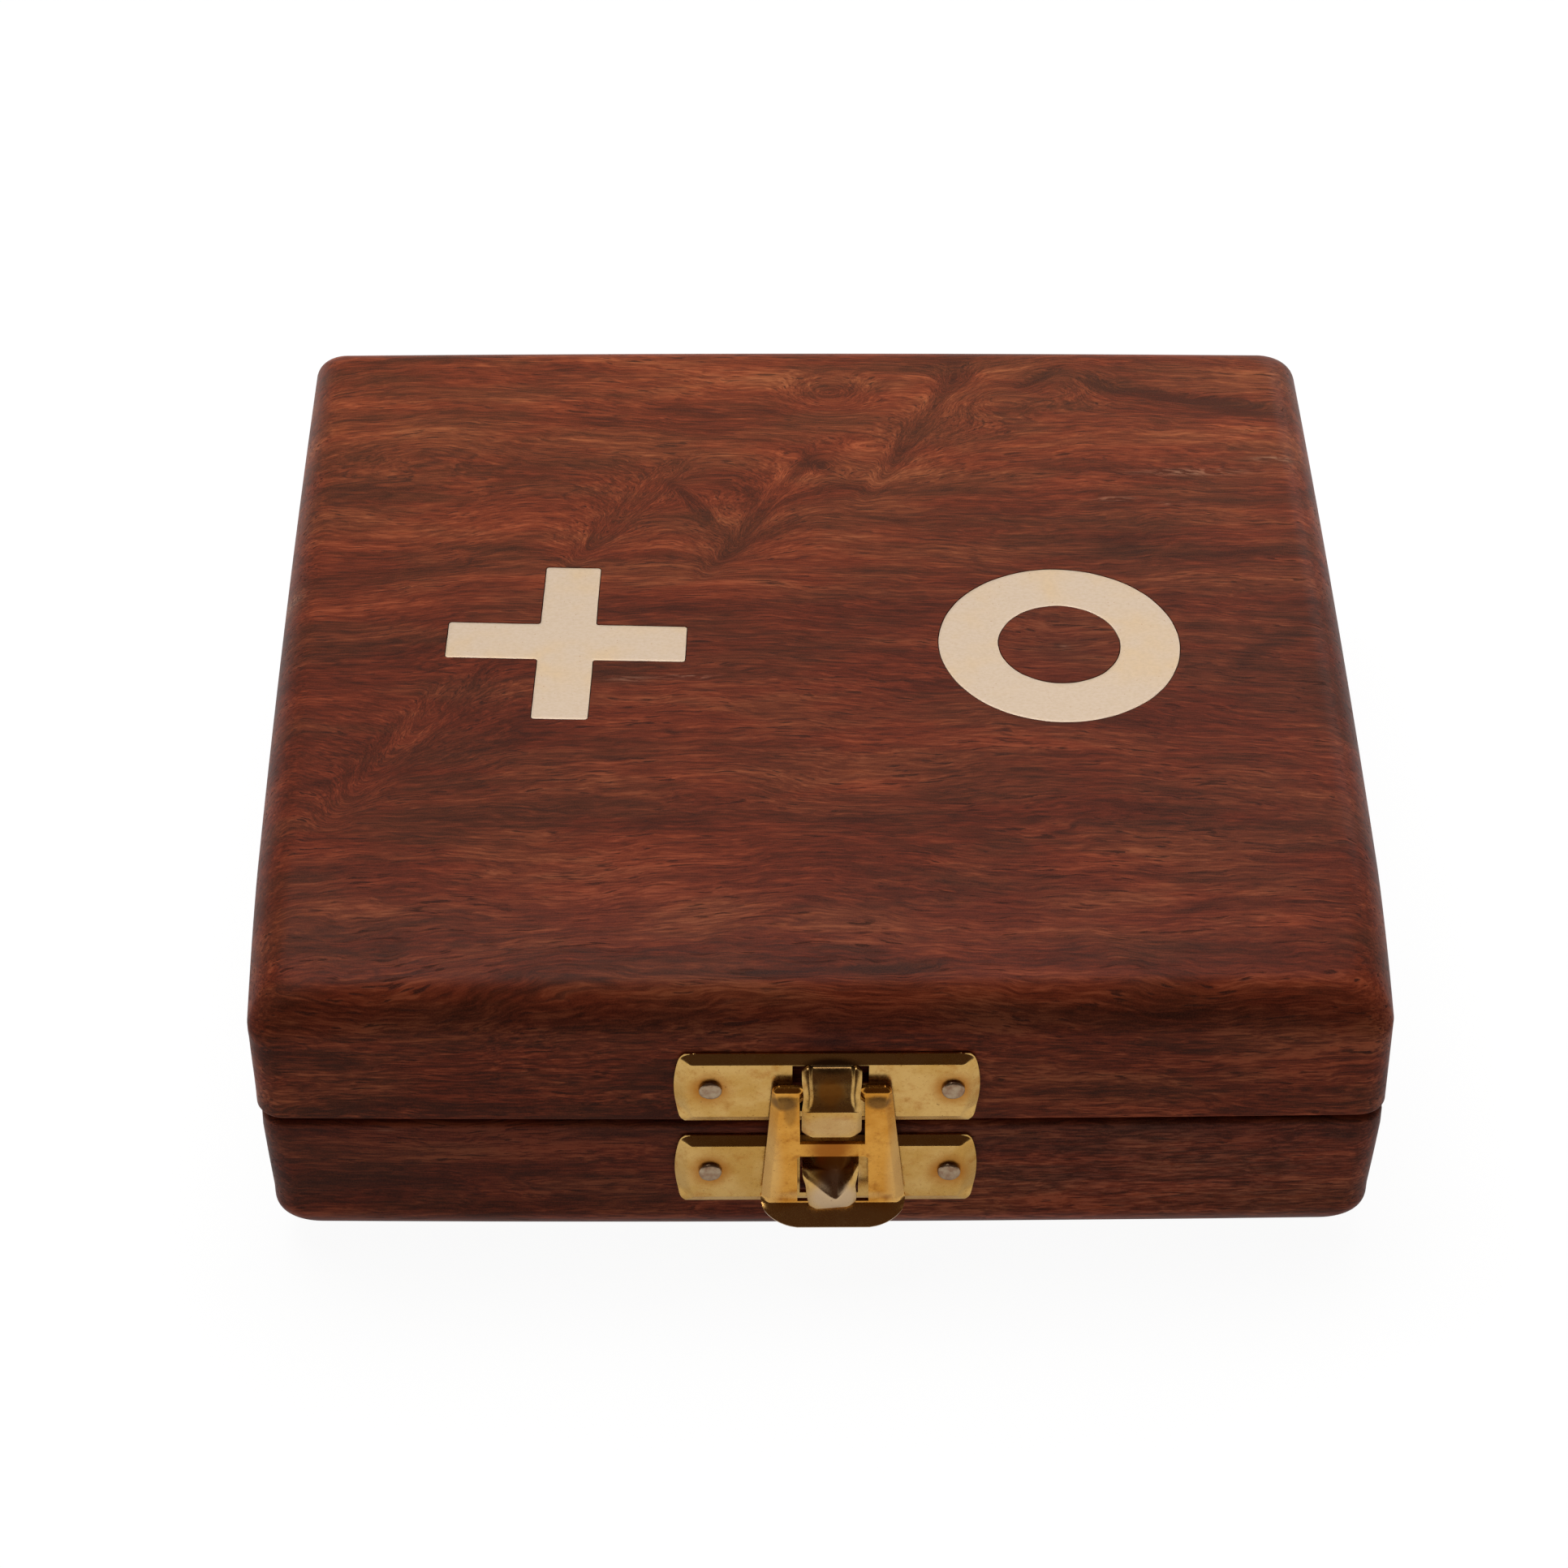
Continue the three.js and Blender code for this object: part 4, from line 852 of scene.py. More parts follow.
upper_sheet = pressed_plate(UPPER_Y, UPPER_OPENINGS, [(1.1, 3.5, 4), (-2.9, -2.8, 1)],
                            [(-3.65, -2.8, 1), (3.5, 4.35, 1)])
lower_sheet = pressed_plate(LOWER_Y, LOWER_OPENINGS, [(-3.1, 3.3, 4)], [(-2.75, 3.45, 4)])
print("plate faces", len(upper_sheet[1]), len(lower_sheet[1]))

# %% [markdown]
# ## Tongue and hook
# Both are strips that were left on the plate and bent out of it. Seen from the side a strip is
# a smooth path; its outer face follows the path, and its inner face lies one thickness behind.
# The tongue has a pocket pressed into its slope, the hook a pointed dart in its bend, which
# leaves two horns above its bright front.

# %% Bend the strips
PATH_STEPS = 8


def smooth_path(corners):
    """A curve that passes smoothly through corners (out, up): between b and c it is
    (2b + (c - a) t + (2a - 5b + 4c - d) t^2 + (3b - a - 3c + d) t^3) / 2."""
    c = np.asarray(corners, float)
    c = np.concatenate([[2 * c[0] - c[1]], c, [2 * c[-1] - c[-2]]])
    a, b, c, d = (c[k:len(c) - 3 + k, None] for k in range(4))
    t = np.linspace(0, 1, PATH_STEPS, endpoint=False)[None, :, None]
    curve = 0.5 * (2 * b + (c - a) * t + (2 * a - 5 * b + 4 * c - d) * t ** 2
                   + (3 * b - a - 3 * c + d) * t ** 3)
    return np.concatenate([curve.reshape(-1, 2), np.asarray(corners[-1:], float)])


def normals(path):
    """Unit vectors at right angles to a path of flat points, from its slope (a, b) as (-b, a)."""
    along = np.gradient(path, axis=0)
    normal = np.stack([-along[..., 1], along[..., 0]], -1)
    return normal / np.linalg.norm(normal, axis=-1)[..., None]


def bent_sheet(edge, middle, blend, half_width, share, shift, round_off=0.42, thickness=0.5):
    """A strip between the path of its edges and the path of its middle. blend is 0 where a
    point follows the middle and 1 where it follows the edge. The last fifth of the width is
    rounded off, and the inner face lies one thickness behind."""
    place = middle[:, None] + (edge - middle)[:, None] * blend[..., None]
    fall = round_off * ramp(np.abs(share), 0.8, 0.2) ** 1.4
    across = half_width[:, None] * share[None] + np.reshape(shift, (-1, 1))
    normal = normals(place)
    sides = (place - fall[None, :, None] * normal, place - thickness * normal)
    front, behind = (np.stack([across, side[..., 1], side[..., 0]], -1)[::-1] for side in sides)
    return sheet_skin(front, behind)


def round_corner(up, bottom, radius):
    """How much a strip narrows near its free end: radius times 1 - sqrt(1 - t^2)."""
    t = np.clip((bottom + radius - up) / radius, 0, 0.995)
    return radius * (1 - np.sqrt(1 - t ** 2))


print("a step of a path:", smooth_path([(0, 0), (1, 1)])[1].round(3).tolist())

# %% Shape the tongue and the hook
SHARE = np.concatenate([np.linspace(-1, -0.58, 16), np.linspace(-0.58, 0.58, 24)[1:-1],
                        np.linspace(0.58, 1, 16)])
TONGUE_HALF, TONGUE_NECK, TONGUE_END, TONGUE_SHIFT = 3.13, 25.9, 20.9, 0.12
HOOK_HALF, HOOK_NECK, HOOK_END, HOOK_DART, HOOK_SHEET = 2.95, 14.0, 11.0, 0.2, 0.45
TONGUE_EDGE = smooth_path([
    (0.75, 28.3), (1.35, 28.6), (1.85, 28.5), (2.24, 28.06), (2.62, 27.4), (3.02, 26.55),
    (3.38, 25.72), (3.7, 24.95), (3.86, 24.5), (3.93, 24.25), (3.95, 23.4), (3.93, 22.2), (3.9, 20.9)])
TONGUE_MIDDLE = smooth_path([
    (0.75, 28.3), (1.12, 28.34), (1.46, 28.2), (1.86, 27.86), (2.3, 27.22), (2.66, 26.5),
    (3.04, 25.75), (3.48, 25.0), (3.83, 24.56), (3.95, 24.3), (3.95, 23.4), (3.93, 22.2), (3.9, 20.9)])
HOOK_EDGE = smooth_path([
    (0.7, 16.9), (1.3, 17.02), (2.2, 17.0), (3.1, 16.92), (3.7, 16.8), (4.08, 16.55),
    (4.28, 16.15), (4.38, 15.6), (4.42, 14.6), (4.4, 13.2), (4.34, 12.1), (4.25, 11.0)])
HOOK_MIDDLE = smooth_path([
    (0.7, 16.6), (1.15, 16.35), (1.75, 15.6), (2.3, 14.9), (2.5, 14.55), (3.1, 13.7),
    (3.86, 12.85), (4.34, 12.35), (4.42, 12.0), (4.4, 11.7), (4.36, 11.4), (4.25, 11.0)])


def tongue_sheet():
    """The pocket lies within 0.62 of the half width and ends at 0.8. The strip is narrower by
    0.17 exp(-d^2) at a distance d from its neck, and round at its free end."""
    up = TONGUE_EDGE[:, 1]
    half = TONGUE_HALF - 0.17 * np.exp(-(up - TONGUE_NECK) ** 2) - round_corner(up, TONGUE_END, 0.75)
    rim = np.repeat(smooth_step(np.abs(SHARE), 0.62, 0.8)[None], len(up), 0)
    return bent_sheet(TONGUE_EDGE, TONGUE_MIDDLE, rim, half, SHARE, TONGUE_SHIFT)


def hook_sheet():
    """The dart is r^p, with r growing from 0 at HOOK_DART to 1 at both edges and p falling from
    2 to 1.15 down the strip. The strip has a neck as the tongue has, and leans to the right."""
    step, up = np.arange(len(HOOK_EDGE)) / PATH_STEPS, HOOK_EDGE[:, 1]
    reach = np.where(SHARE > HOOK_DART, (SHARE - HOOK_DART) / (1 - HOOK_DART),
                     (HOOK_DART - SHARE) / (1 + HOOK_DART))
    power = 2.0 - 0.85 * smooth_step(step, 1.5, 6)
    dart = ((reach[None] ** 2 + 0.006) / 1.006) ** (power[:, None] / 2)
    half = (HOOK_HALF - 0.32 * np.exp(-((up - HOOK_NECK) / 1.3) ** 2)
            - 0.5 * smooth_step(up, 14, 11) - round_corner(up, HOOK_END, 0.6))
    shift = 0.06 + 0.22 * smooth_step(up, 15, 11.5)
    points, faces = bent_sheet(HOOK_EDGE, HOOK_MIDDLE, dart, half, SHARE, shift, 0.2, HOOK_SHEET)
    across, up = points[:, 0] / 2.9, points[:, 1]
    lean = 0.4 * smooth_step(up, 14.2, 16.6) + 0.3 * smooth_step(-up, -13, -11)
    points[:, 1] += lean * across
    return points, faces


tongue, hook = tongue_sheet(), hook_sheet()
print("tongue faces", len(tongue[1]), "hook faces", len(hook[1]))

# %% [markdown]
# ## Flap
# The swing hasp is one pressed sheet: flat in front, with sides and top that fall back to the
# plate, an upper window for the tongue, a lower one for the hook, and a lip flared out under
# them for the finger. It is one grid whose rows run down the face and on along the lip; the
# windows are rows and columns left open.

# %% Press the flap
FLAP_FRONT, FLAP_TOP, FLAP_BEND, LIP_RUN, LIP_TURN, LIP_DROP = 2.9, 26.3, 10.75, 2.75, 0.3, 1.98
BAR_LOW, BAR_FRONT, BRIDGE_LOW, BRIDGE_HIGH, ARM_BACK = 24.7, 2.3, 17.21, 18.97, 1.7
FLAP_HALF, FLAP_TAPER, SHOULDER, SHOULDER_FROM, SHOULDER_RUN = 7.6, 1.4, 0.8, 25.5, 0.82
LIP_HALF, LIP_ROUND, LIP_FLARE, LIP_CURL = 3.7, 4, 1.9, 0.25
WINDOW_UPS, WINDOW_HALVES = (10, 17.2, BRIDGE_LOW, 27), (3.78, 3.72, 3.42, 3.42)
SIDE_RUN, SIDE_DROP, TOP_FROM, TOP_RUN, BEAD, BEAD_AT, BEAD_WIDE = 0.95, 0.8, 24.1, 2.2, 0.12, 25.8, 0.25


def flap_sheet():
    """The height is the front less a drop that grows towards the sides and the top. t is 0 all
    down the face and goes to 1 along the lip, where the sheet turns out and down, and its half
    width follows the ellipse LIP_HALF + LIP_ROUND (1 - t^1.8)^0.6."""
    face = lines((FLAP_BEND + 0.15, BRIDGE_LOW, 26), (BRIDGE_LOW, BRIDGE_HIGH, 8),
                 (BRIDGE_HIGH, BAR_LOW, 22), (BAR_LOW, FLAP_TOP, 16))[::-1]
    rows, lip = len(face), np.linspace(0, 1, 24)
    t = np.concatenate([np.zeros(rows), lip])
    up = np.concatenate([face, FLAP_BEND - LIP_DROP * lip])
    sides = FLAP_HALF - FLAP_TAPER * (face - FLAP_BEND) / (FLAP_TOP - FLAP_BEND)
    turning = np.minimum(ramp(face, SHOULDER_FROM, SHOULDER_RUN), 0.999)
    shoulder = SHOULDER * (1 - np.sqrt(1 - turning ** 2))
    ellipse = (1 - np.minimum(lip, 0.998) ** 1.8) ** 0.6
    half = np.concatenate([sides - shoulder, LIP_HALF + LIP_ROUND * ellipse])
    shift = np.interp(up, [8, 26], [0.45, 0.15])[:, None]
    window = np.interp(up, WINDOW_UPS, WINDOW_HALVES)
    arm = np.concatenate([np.linspace(0, 0.35, 12), np.linspace(0.35, 1, 12)[1:]])
    arms = half[:, None] - (half - window)[:, None] * arm
    gap = np.linspace(-1, 1, 20)[1:-1]
    across = np.concatenate([-arms, window[:, None] * gap, arms[:, ::-1]], 1)
    level = np.repeat(up[:, None], across.shape[1], 1)
    edge = (1 - ramp(half[:, None] - np.abs(across), 0, SIDE_RUN)) ** 1.1
    edge = edge * np.clip(1 - 3 * t, 0, 1)[:, None]
    drop = SIDE_DROP * np.maximum(edge, ramp(level, TOP_FROM, TOP_RUN) ** 1.3)
    drop = drop - BEAD * np.exp(-((level - BEAD_AT) / BEAD_WIDE) ** 2)
    flare = LIP_FLARE * ramp(t * LIP_RUN, LIP_TURN, LIP_RUN - LIP_TURN) + LIP_CURL * t * (1 - t)
    out = FLAP_FRONT + flare[:, None] - drop
    bar = (np.abs(across) < window[:, None] * 0.97) & (level > BAR_LOW - 0.01)
    front = np.stack([across + shift, level, np.where(bar, BAR_FRONT, out)], -1)
    rounded = smooth_step(t, 0, 0.3)[:, None]
    step_back = np.concatenate([0 * rounded, 0.42 * rounded, SHEET - 0.15 * rounded], 1)
    behind = front - step_back[:, None]
    behind[:rows, :, 2] = np.maximum(behind[:rows, :, 2], ARM_BACK)
    a, u = middles(across), middles(level)
    in_window = np.abs(a) < (window[:-1, None] + window[1:, None]) / 2 - 0.02
    upper = (u < BAR_LOW) & (u > BRIDGE_HIGH)
    lower = (u < BRIDGE_LOW) & (u > FLAP_BEND - 0.02)
    keep = ~(in_window & (upper | lower))
    return sheet_skin(front[::-1], behind[::-1], keep[::-1])


flap = flap_sheet()
print("flap faces", len(flap[1]))

# %% [markdown]
# ## Gold-coloured brass
# The latch is thinly gilded brass. The gilding has gone amber in clouds and round the pins,
# where damp stood, and it is speckled with tiny dark pits. The tint, the gloss and a faint
# orange-peel bump all follow the same clouds.

# %% Mix the gilding
RUST, GRIME_AND_SHADE, PIT = colour(150, 98, 34), colour(84, 60, 36), colour(96, 58, 20)
BARE, BARE_AND_HIGHLIT_FLAP = colour(188, 164, 138), colour(216, 180, 116)
GOLD, DEEP_GOLD, AMBER = colour(199, 161, 96), colour(185, 142, 72), colour(162, 98, 28)
FLAP_GOLD, FLAP_DEEP, FLAP_AMBER = colour(208, 150, 66), colour(190, 128, 46), colour(146, 80, 22)


def gilt(name, tones, spots=(), amount=1.0, rough=0.24, worn=(), bare=BARE):
    """Brass in three tones: light and deep in clouds, and amber in patches and near each spot (a
    place on the front, in millimetres, with a reach). Each worn place has a reach across and up
    and an amount: above 0 it is paler, rubbed bare and on one band a painted highlight, and
    below 0 darker, settled grime and at the tongue's top painted shade."""
    brass = Bench(name)
    light, deep, amber = tones
    x, _, z = brass.parts(brass.at())
    clouds = brass.cloud((0.16, 0.3, 0.2), 4.0, 0.6, (5, 3, 1))
    patch = brass.cloud((0.42, 0.6, 0.5), 4.0, 0.62, (1, 8, 4))
    fine = brass.cloud((3.2, 3.2, 3.2), 3.0, 0.6)
    tint = brass.mix(clouds.rise(0.38, 0.66), light, deep)
    stain = patch.rise(0.52, 0.74) * (0.7 * amount)
    for (across, up), reach in spots:
        away = ((x - (LATCH_X + across)) ** 2 + (z - up) ** 2) ** 0.5 + 1.1 * (patch - 0.5)
        stain = stain.most((1 - away.rise(0.9, reach)) * 0.85)
    tint = brass.mix(stain, tint, amber)
    tint = brass.mix(fine.rise(0.5, 0.8) * 0.35, tint, RUST)
    for (across, up), wide, tall, much in worn:
        away = (((x - (LATCH_X + across)) / wide) ** 2 + ((z - up) / tall) ** 2) ** 0.5
        tint = brass.mix((1 - away.rise(0.5, 1.1)) * abs(much), tint, bare if much > 0 else GRIME_AND_SHADE)
    pits = brass.cloud((3.2, 3.2, 3.2), 1.5, 0.5, (9, 4, 2)).rise(0.72, 0.8)
    return brass.finish(
        Base_Color=brass.mix(pits * 0.6, tint, PIT), Metallic=1.0,
        Roughness=rough + 0.22 * (fine - 0.5) + 0.16 * stain + 0.1 * (clouds - 0.5),
        Normal=brass.bump(0.6 * fine + patch, 0.16, 0.05 * MM))


# The last two spots, in the hook's dart and the tongue's pocket, are amber tarnish and also a painted
# reddish reflection of the wood.
plate_spots = [(pin, 3.0) for pin in PINS] + [((0.3, 15.6), 2.6), ((0, 26.2), 2.2)]
# On the plates the hook's front and the tongue's end are rubbed bare; the dark band at the tongue's top
# is painted shade, which dims its glint.
plate_wear_and_shade = [((0.4, 12.6), 3.2, 2.6, 0.7), ((0.2, 22.4), 3.6, 1.8, 0.22),
              ((0.1, 28.5), 3.4, 0.7, -0.9)]
# On the flap the outer sides and the lip are rubbed bare, and the band along the bend over the lip is a
# painted highlight; the dark places at the tops of the arms are grime.
flap_wear_and_highlight = [((-7.3, 15), 2.6, 9, 0.5), ((7.9, 15), 2.2, 9, 0.5), ((0.4, 11.6), 7, 0.8, 0.4),
             ((0.2, 9.3), 9, 1.5, 0.7), ((-4.9, 24.6), 1.8, 1.0, -0.75),
             ((5.0, 24.7), 1.6, 0.9, -0.75), ((-4.2, 23.4), 0.8, 2.2, -0.4)]
PLATE_GILT = gilt("gilt of the plates", (GOLD, DEEP_GOLD, AMBER), plate_spots, 0.7, worn=plate_wear_and_shade)
FLAP_GILT = gilt("gilt of the flap", (FLAP_GOLD, FLAP_DEEP, FLAP_AMBER), [((0, 18.1), 3.4)], 1.1,
                 worn=flap_wear_and_highlight, bare=BARE_AND_HIGHLIT_FLAP)
print("two gildings, nodes:", len(PLATE_GILT.node_tree.nodes), len(FLAP_GILT.node_tree.nodes))

# %% Gild the latch
upper_parts, lower_parts = joined(upper_sheet, tongue), joined(lower_sheet, hook)
top_plate = piece_from("plate_with_tongue", on_front(upper_parts[0]), upper_parts[1], PLATE_GILT,
                       "lid", ["latch_top_plate"], "latch_brass")
bottom_plate = piece_from("plate_with_hook", on_front(lower_parts[0]), lower_parts[1], PLATE_GILT,
                          "base", ["latch_bottom_plate"], "latch_brass")
swing_flap = piece_from("swing_flap", on_front(flap[0]), flap[1], FLAP_GILT, "latch",
                        ["latch_flap"], "latch_brass")
for sheet in (top_plate, bottom_plate, swing_flap):
    eased(sheet, width=0.09, degrees=50)
    sheet.data.polygons.foreach_set("use_smooth", np.ones(len(sheet.data.polygons), bool))
print("latch faces", [len(sheet.data.polygons) for sheet in (top_plate, bottom_plate, swing_flap)])

# %% [markdown]
# ## Pins
# Four short steel pins hold the plates. Their flat heads were tapped down by hand, so no two
# are quite round or lie quite flat.

# %% Tap in the pins
PIN_HEAD, PIN_HEAD_THICK, PIN_SEAT = 1.22, 0.52, PLATE_RISE - 0.12
PIN_SHANK, SHANK_LONG, PIN_WAVER_SHARE, PIN_SQUASH, PIN_STEPS = 0.58, 4.8, 0.02, 0.94, 40
PIN_TONE, PIN_BROWN = colour(164, 144, 118), colour(136, 104, 80)


def steel_finish(name, tint):
    """Dull steel: one tint, browned in blotches that also lift its surface a little."""
    steel = Bench(name)
    blotch = steel.cloud((1.3, 1.3, 1.3), 3.0, 0.6, (2, 5, 9))
    fine = steel.cloud((6, 6, 6), 2.0, 0.5)
    return steel.finish(
        Base_Color=steel.mix(blotch.rise(0.3, 0.8), tint, PIN_BROWN), Metallic=1.0,
        Roughness=0.34 + 0.3 * (blotch - 0.5),
        Normal=steel.bump(blotch + 0.4 * fine, 0.35, 0.08 * MM))


def tapped_pin(head, thick, shank, seat, seed, lean=0.05):
    """Rings from the middle of the head over its edge and down the shank; the head's outline
    wavers and its face leans a little."""
    tilt = np.random.default_rng(seed).uniform(-lean, lean, 2)
    profile = [(head * 0.3, thick), (head * 0.72, thick * 0.99), (head * 0.9, thick * 0.9),
               (head * 0.98, thick * 0.72), (head, thick * 0.45), (head * 0.97, 0.0),
               (shank, 0.0), (shank, -SHANK_LONG * 0.8), (shank * 0.3, -SHANK_LONG)]
    rings = []
    for radius, height in profile:
        circle = wavering(circle_outline(radius, PIN_STEPS), PIN_WAVER_SHARE * radius, seed)
        circle = circle * (1, PIN_SQUASH)
        rings.append(np.column_stack([circle, seat + height + (height > 0) * (circle @ tilt)]))
    return ring_stack(rings)


STEEL = steel_finish("steel of the pins", PIN_TONE)
for number, (across, up) in enumerate(PINS, 1):
    points, faces = tapped_pin(PIN_HEAD, PIN_HEAD_THICK, PIN_SHANK, PIN_SEAT, number)
    piece_from(f"steel_pin_{number}", on_front(points + [across, up, 0]), faces, STEEL,
               "lid" if number < 3 else "base", [f"latch_pin_{number}"], "steel")
print("four pins")

# %% [markdown]
# ## Hinges
# Two small butt hinges sit on the back. A leaf is one strip of sheet: it runs down the wood,
# under the pin and round it, and its end closes against its own face. The strip is cut away
# where the other leaf's knuckles turn, so the five knuckles take turns along the pin.

# %% Roll a hinge leaf
HINGE_X, HINGE_LONG, LEAF_TALL, PIN_OUT = 34.025, 19.0, 9.0, 1.6
KNUCKLE, KNUCKLE_PITCH, KNUCKLE_HALF, ROOM = 1.5, 3.8, 1.75, 1.85
LEAF_THICK, ROLL_THICK, LEAF_CORNER, FOOT = 0.9, 0.7, 1.1, 0.1


def leaf_sheet(way):
    """The back of the strip goes down to the pin and then round a circle from the left through
    the bottom; its face lies one thickness nearer to the pin. way is 1 above the seam and -1
    below it, where the whole drawing is turned upside down."""
    straight = lines((ROOM, LEAF_TALL - 1.3, 6), (LEAF_TALL - 1.3, LEAF_TALL, 14))[::-1]
    ease = np.linspace(0, 1, 9)[1:-1]
    path = np.concatenate([
        np.stack([0 * straight, straight], -1),
        np.stack([FOOT * smooth_step(ease, 0, 1), ROOM * (1 - ease)], -1),
        arc((PIN_OUT, 0), KNUCKLE, 180, 472, 48)])
    thick = LEAF_THICK - (LEAF_THICK - ROLL_THICK) * smooth_step(-path[:, 1], -ROOM, 0.5)
    thick[len(straight) + len(ease) + 5:] = ROLL_THICK  # round the pin it stays as thin as that
    face = path + thick[:, None] * normals(path)
    centres = (np.arange(5) - 2) * KNUCKLE_PITCH
    columns = np.unique(np.round(np.concatenate([
        lines((-HINGE_LONG / 2, HINGE_LONG / 2, 38)), centres - KNUCKLE_HALF,
        centres + KNUCKLE_HALF]), 6))
    narrow = round_corner(-path[:, 1], -LEAF_TALL, LEAF_CORNER)
    across = columns[None] * (1 - narrow / HINGE_LONG * 2)[::-1, None]
    sides = [np.stack(np.broadcast_arrays(way * across, way * side[:, 1:] + SEAM, side[:, :1]), -1)
             for side in (face[::-1], path[::-1])]
    middle = (columns[1:] + columns[:-1]) / 2
    own = centres[::2] if way < 0 else centres[1::2]
    mine = (np.abs(middle[:, None] - own[None]) < KNUCKLE_HALF + 0.01).any(1)
    whole = (np.arange(len(path) - 1) < len(straight) - 1)[::-1]
    return sheet_skin(*sides, whole[:, None] | mine[None])


print("leaf faces:", len(leaf_sheet(1)[1]), "and", len(leaf_sheet(-1)[1]))

# %% Fix the hinges with their nails and pins
LEAF_TONES = colour(196, 156, 88), colour(178, 136, 68), colour(140, 92, 36)
NAIL_TONES = colour(204, 164, 96), colour(186, 144, 76), colour(132, 86, 34)
NAIL_HEAD, NAIL_HEAD_THICK, NAIL_SHANK, NAIL_OFF, NAIL_SEEDS = 1.3, 0.45, 0.55, 5.5, 20
ROD_STEPS = 24
ROD_END = [(0.2, 9.45), (0.55, 9.42), (0.68, 9.3), (0.7, 9.1)]
HINGE_BRASS = gilt("brass of the hinges", LEAF_TONES, amount=0.8, rough=0.34)
NAIL_BRASS = gilt("brass of the nails", NAIL_TONES, amount=1.0, rough=0.3)
HINGE_STEEL = steel_finish("steel of the hinge pins", colour(170, 160, 150))
rod_profile = ROD_END + [(radius, -at) for radius, at in ROD_END[::-1]]
rod_rings = [circle_outline(radius, ROD_STEPS) for radius, at in rod_profile]
rod, rod_faces = prism(rod_rings, [at for radius, at in rod_profile])
rod = np.stack([rod[:, 2], rod[:, 0] + SEAM, rod[:, 1] + PIN_OUT], -1)
nail = 0
for side, middle in (("left", -HINGE_X), ("right", HINGE_X)):
    for way, body in ((1, "lid"), (-1, "base")):
        points, faces = leaf_sheet(way)
        leaf = piece_from(f"hinge_leaf_{side}_{body}", on_back(points, middle), faces, HINGE_BRASS,
                          body, [f"hinge_{side}_{body}_leaf"], "hinge_brass")
        eased(leaf, width=0.1, degrees=50)
        for place in (-NAIL_OFF, NAIL_OFF):
            nail += 1
            head, faces = tapped_pin(NAIL_HEAD, NAIL_HEAD_THICK, NAIL_SHANK, seat=LEAF_THICK,
                                     seed=NAIL_SEEDS + nail, lean=0.03)
            points = on_back(head + [place, SEAM + way * NAIL_OFF, 0], middle)
            piece_from(f"brass_nail_{nail}", points, faces, NAIL_BRASS, body,
                       [f"hinge_nail_{nail}"], "hinge_brass")
    piece_from(f"hinge_pin_{side}", on_back(rod, middle), rod_faces, HINGE_STEEL, "base",
               [f"hinge_{side}_pin"], "steel")
print("hinges rolled, nails", nail)

# %% [markdown]
# ## Board and playing pieces
# Inside, four thin slats are half lapped into each other and make the nine squares. Each
# square holds one loose piece, five crosses of the dark wood and four rings of a pale one.

# %% Lap the slats
HOLLOW, SLAT_THICK, SLAT_TALL, LAP_GAP = WIDTH - 2 * WALL, 3.0, 12.0, 0.15
CELL = (HOLLOW - 2 * SLAT_THICK) / 3
PITCH = CELL + SLAT_THICK


def plain_wood(name, light, dark, grain_axis, drift):
    """Straight-grained wood: two tones in long streaks along one axis and short dark pores."""
    wood = Bench(name)
    streak_scale, pore_scale = (tuple(long if k == grain_axis else fine for k in range(3))
                                for long, fine in ((0.05, 1.0), (0.25, 5.0)))
    streak = wood.cloud(streak_scale, 4.0, 0.6, drift)
    pore = wood.cloud(pore_scale, 2.0, 0.5, drift)
    tone = wood.mix(streak.rise(0.34, 0.66), dark, light)
    tone = wood.mix(pore.rise(0.60, 0.72) * 0.5, tone, dark)
    return wood.finish(Base_Color=tone, Roughness=0.46 + 0.2 * (pore - 0.5), Specular_IOR_Level=0.2,
                       Normal=wood.bump(0.5 * streak - pore, 0.2, 0.05 * MM))


def slat_outline(way):
    """A slat seen from its side, its two half laps open upwards (1) or downwards (-1)."""
    half, open_at = HOLLOW / 2 - LAP_GAP, SLAT_TALL if way > 0 else 0.0
    deep, lap = SLAT_TALL / 2 - LAP_GAP * way, SLAT_THICK / 2 + LAP_GAP
    row = [(-half, SLAT_TALL - open_at), (half, SLAT_TALL - open_at), (half, open_at)]
    for middle in (PITCH / 2, -PITCH / 2):
        row += [(middle + lap, open_at), (middle + lap, deep), (middle - lap, deep),
                (middle - lap, open_at)]
    row += [(-half, open_at)]
    return np.array(row if way > 0 else row[::-1], float)


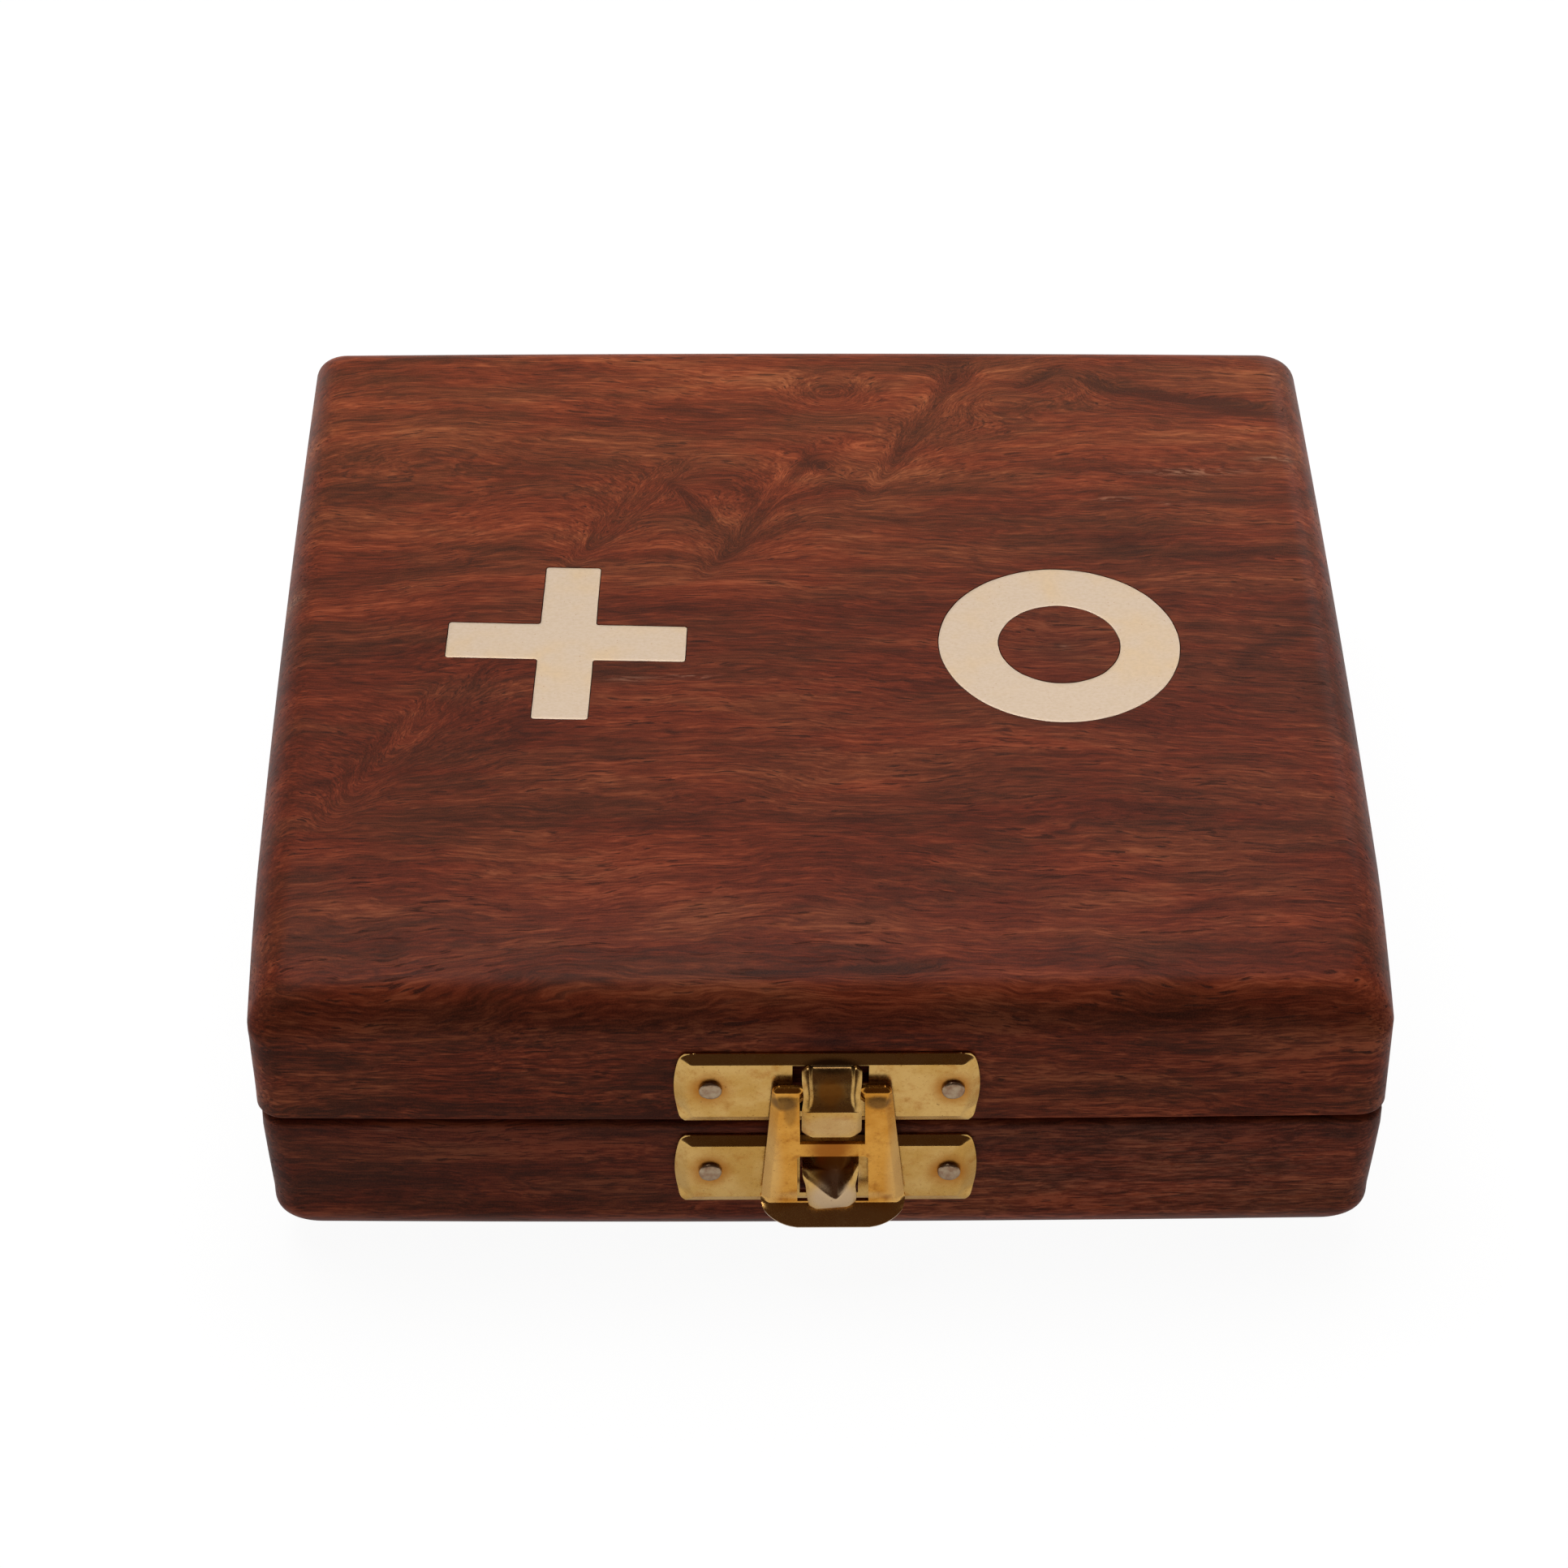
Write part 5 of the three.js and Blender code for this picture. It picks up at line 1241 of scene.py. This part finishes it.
slat_woods = (plain_wood("slat wood along x", colour(112, 50, 32), colour(66, 30, 22), 0, (2, 3, 4)),
              plain_wood("slat wood along y", colour(108, 48, 31), colour(64, 29, 22), 1, (7, 1, 2)))
for way, wood, sides in zip((1, -1), slat_woods, (("front", "back"), ("left", "right"))):
    for side, place in zip(sides, (-PITCH / 2, PITCH / 2)):
        points, faces = prism([slat_outline(way)] * 2, (SLAT_THICK / 2, -SLAT_THICK / 2))
        along, up, out = points.T
        spot = (along, place - out) if way > 0 else (place + out, along)
        slat = piece_from(f"board_slat_{side}", np.stack([*spot, up + FLOOR_THICK], -1), faces, wood,
                          "base", [f"slat_{side}"], "dark_wood")
        eased(slat, width=0.22, degrees=40)
print("slats with", len(slat.data.polygons), "faces each")

# %% Cut the crosses and turn the rings
CROSS_WOOD = plain_wood("wood of the crosses", colour(104, 46, 30), colour(58, 27, 20), 0, (5, 8, 1))
RING_WOOD = plain_wood("wood of the rings", colour(206, 160, 104), colour(168, 118, 68), 0, (1, 6, 3))
PIECE, PIECE_THICK, PIECE_EDGE = CELL - 6.5, 6, 0.6
ARM_SHARE, HOLE_SHARE, PIECE_BEND, FLAT_INSET, PIECE_STEPS = 0.28, 0.22, 0.5, 1.2, 96
ROUNDING = np.concatenate([quarter_profile(PIECE_EDGE, 0, PIECE_THICK, -1, 6),
                           quarter_profile(PIECE_EDGE, 0, 0, 1, 6)])


def cross_piece():
    """Outlines of the cross, the first and last set well in so that the faces stay flat."""
    insets, heights = np.concatenate([[(FLAT_INSET, PIECE_THICK)], ROUNDING, [(FLAT_INSET, 0)]]).T
    arm = ARM_SHARE * PIECE
    return prism([cross_outline(PIECE, arm, PIECE_BEND, -inset) for inset in insets], heights)


def ring_piece():
    """Circles down the outside of the ring and up its hole, joined into a closed skin."""
    insets, heights = ROUNDING.T
    radii = [*(PIECE / 2 - insets), *(HOLE_SHARE * PIECE + insets[::-1])]
    circles = [circle_outline(radius, PIECE_STEPS) for radius in radii]
    return prism(circles, [*heights, *heights[::-1]], closed=True)


SHAPES = {"cross": (cross_piece, CROSS_WOOD, "dark_wood"),
          "ring": (ring_piece, RING_WOOD, "pale_wood")}
made = {"cross": 0, "ring": 0}
for row in (1, 0, -1):
    for column in (-1, 0, 1):
        kind = "cross" if (row + column) % 2 == 0 else "ring"
        made[kind] += 1
        shape, wood, slot = SHAPES[kind]
        points, faces = shape()
        points = points + [column * PITCH, row * PITCH, FLOOR_THICK]
        name = f"{kind}_piece_{made[kind]}"
        piece_from(f"playing_{kind}_{made[kind]}", points, faces, wood, name + "_body", [name], slot)
print("playing pieces", made)
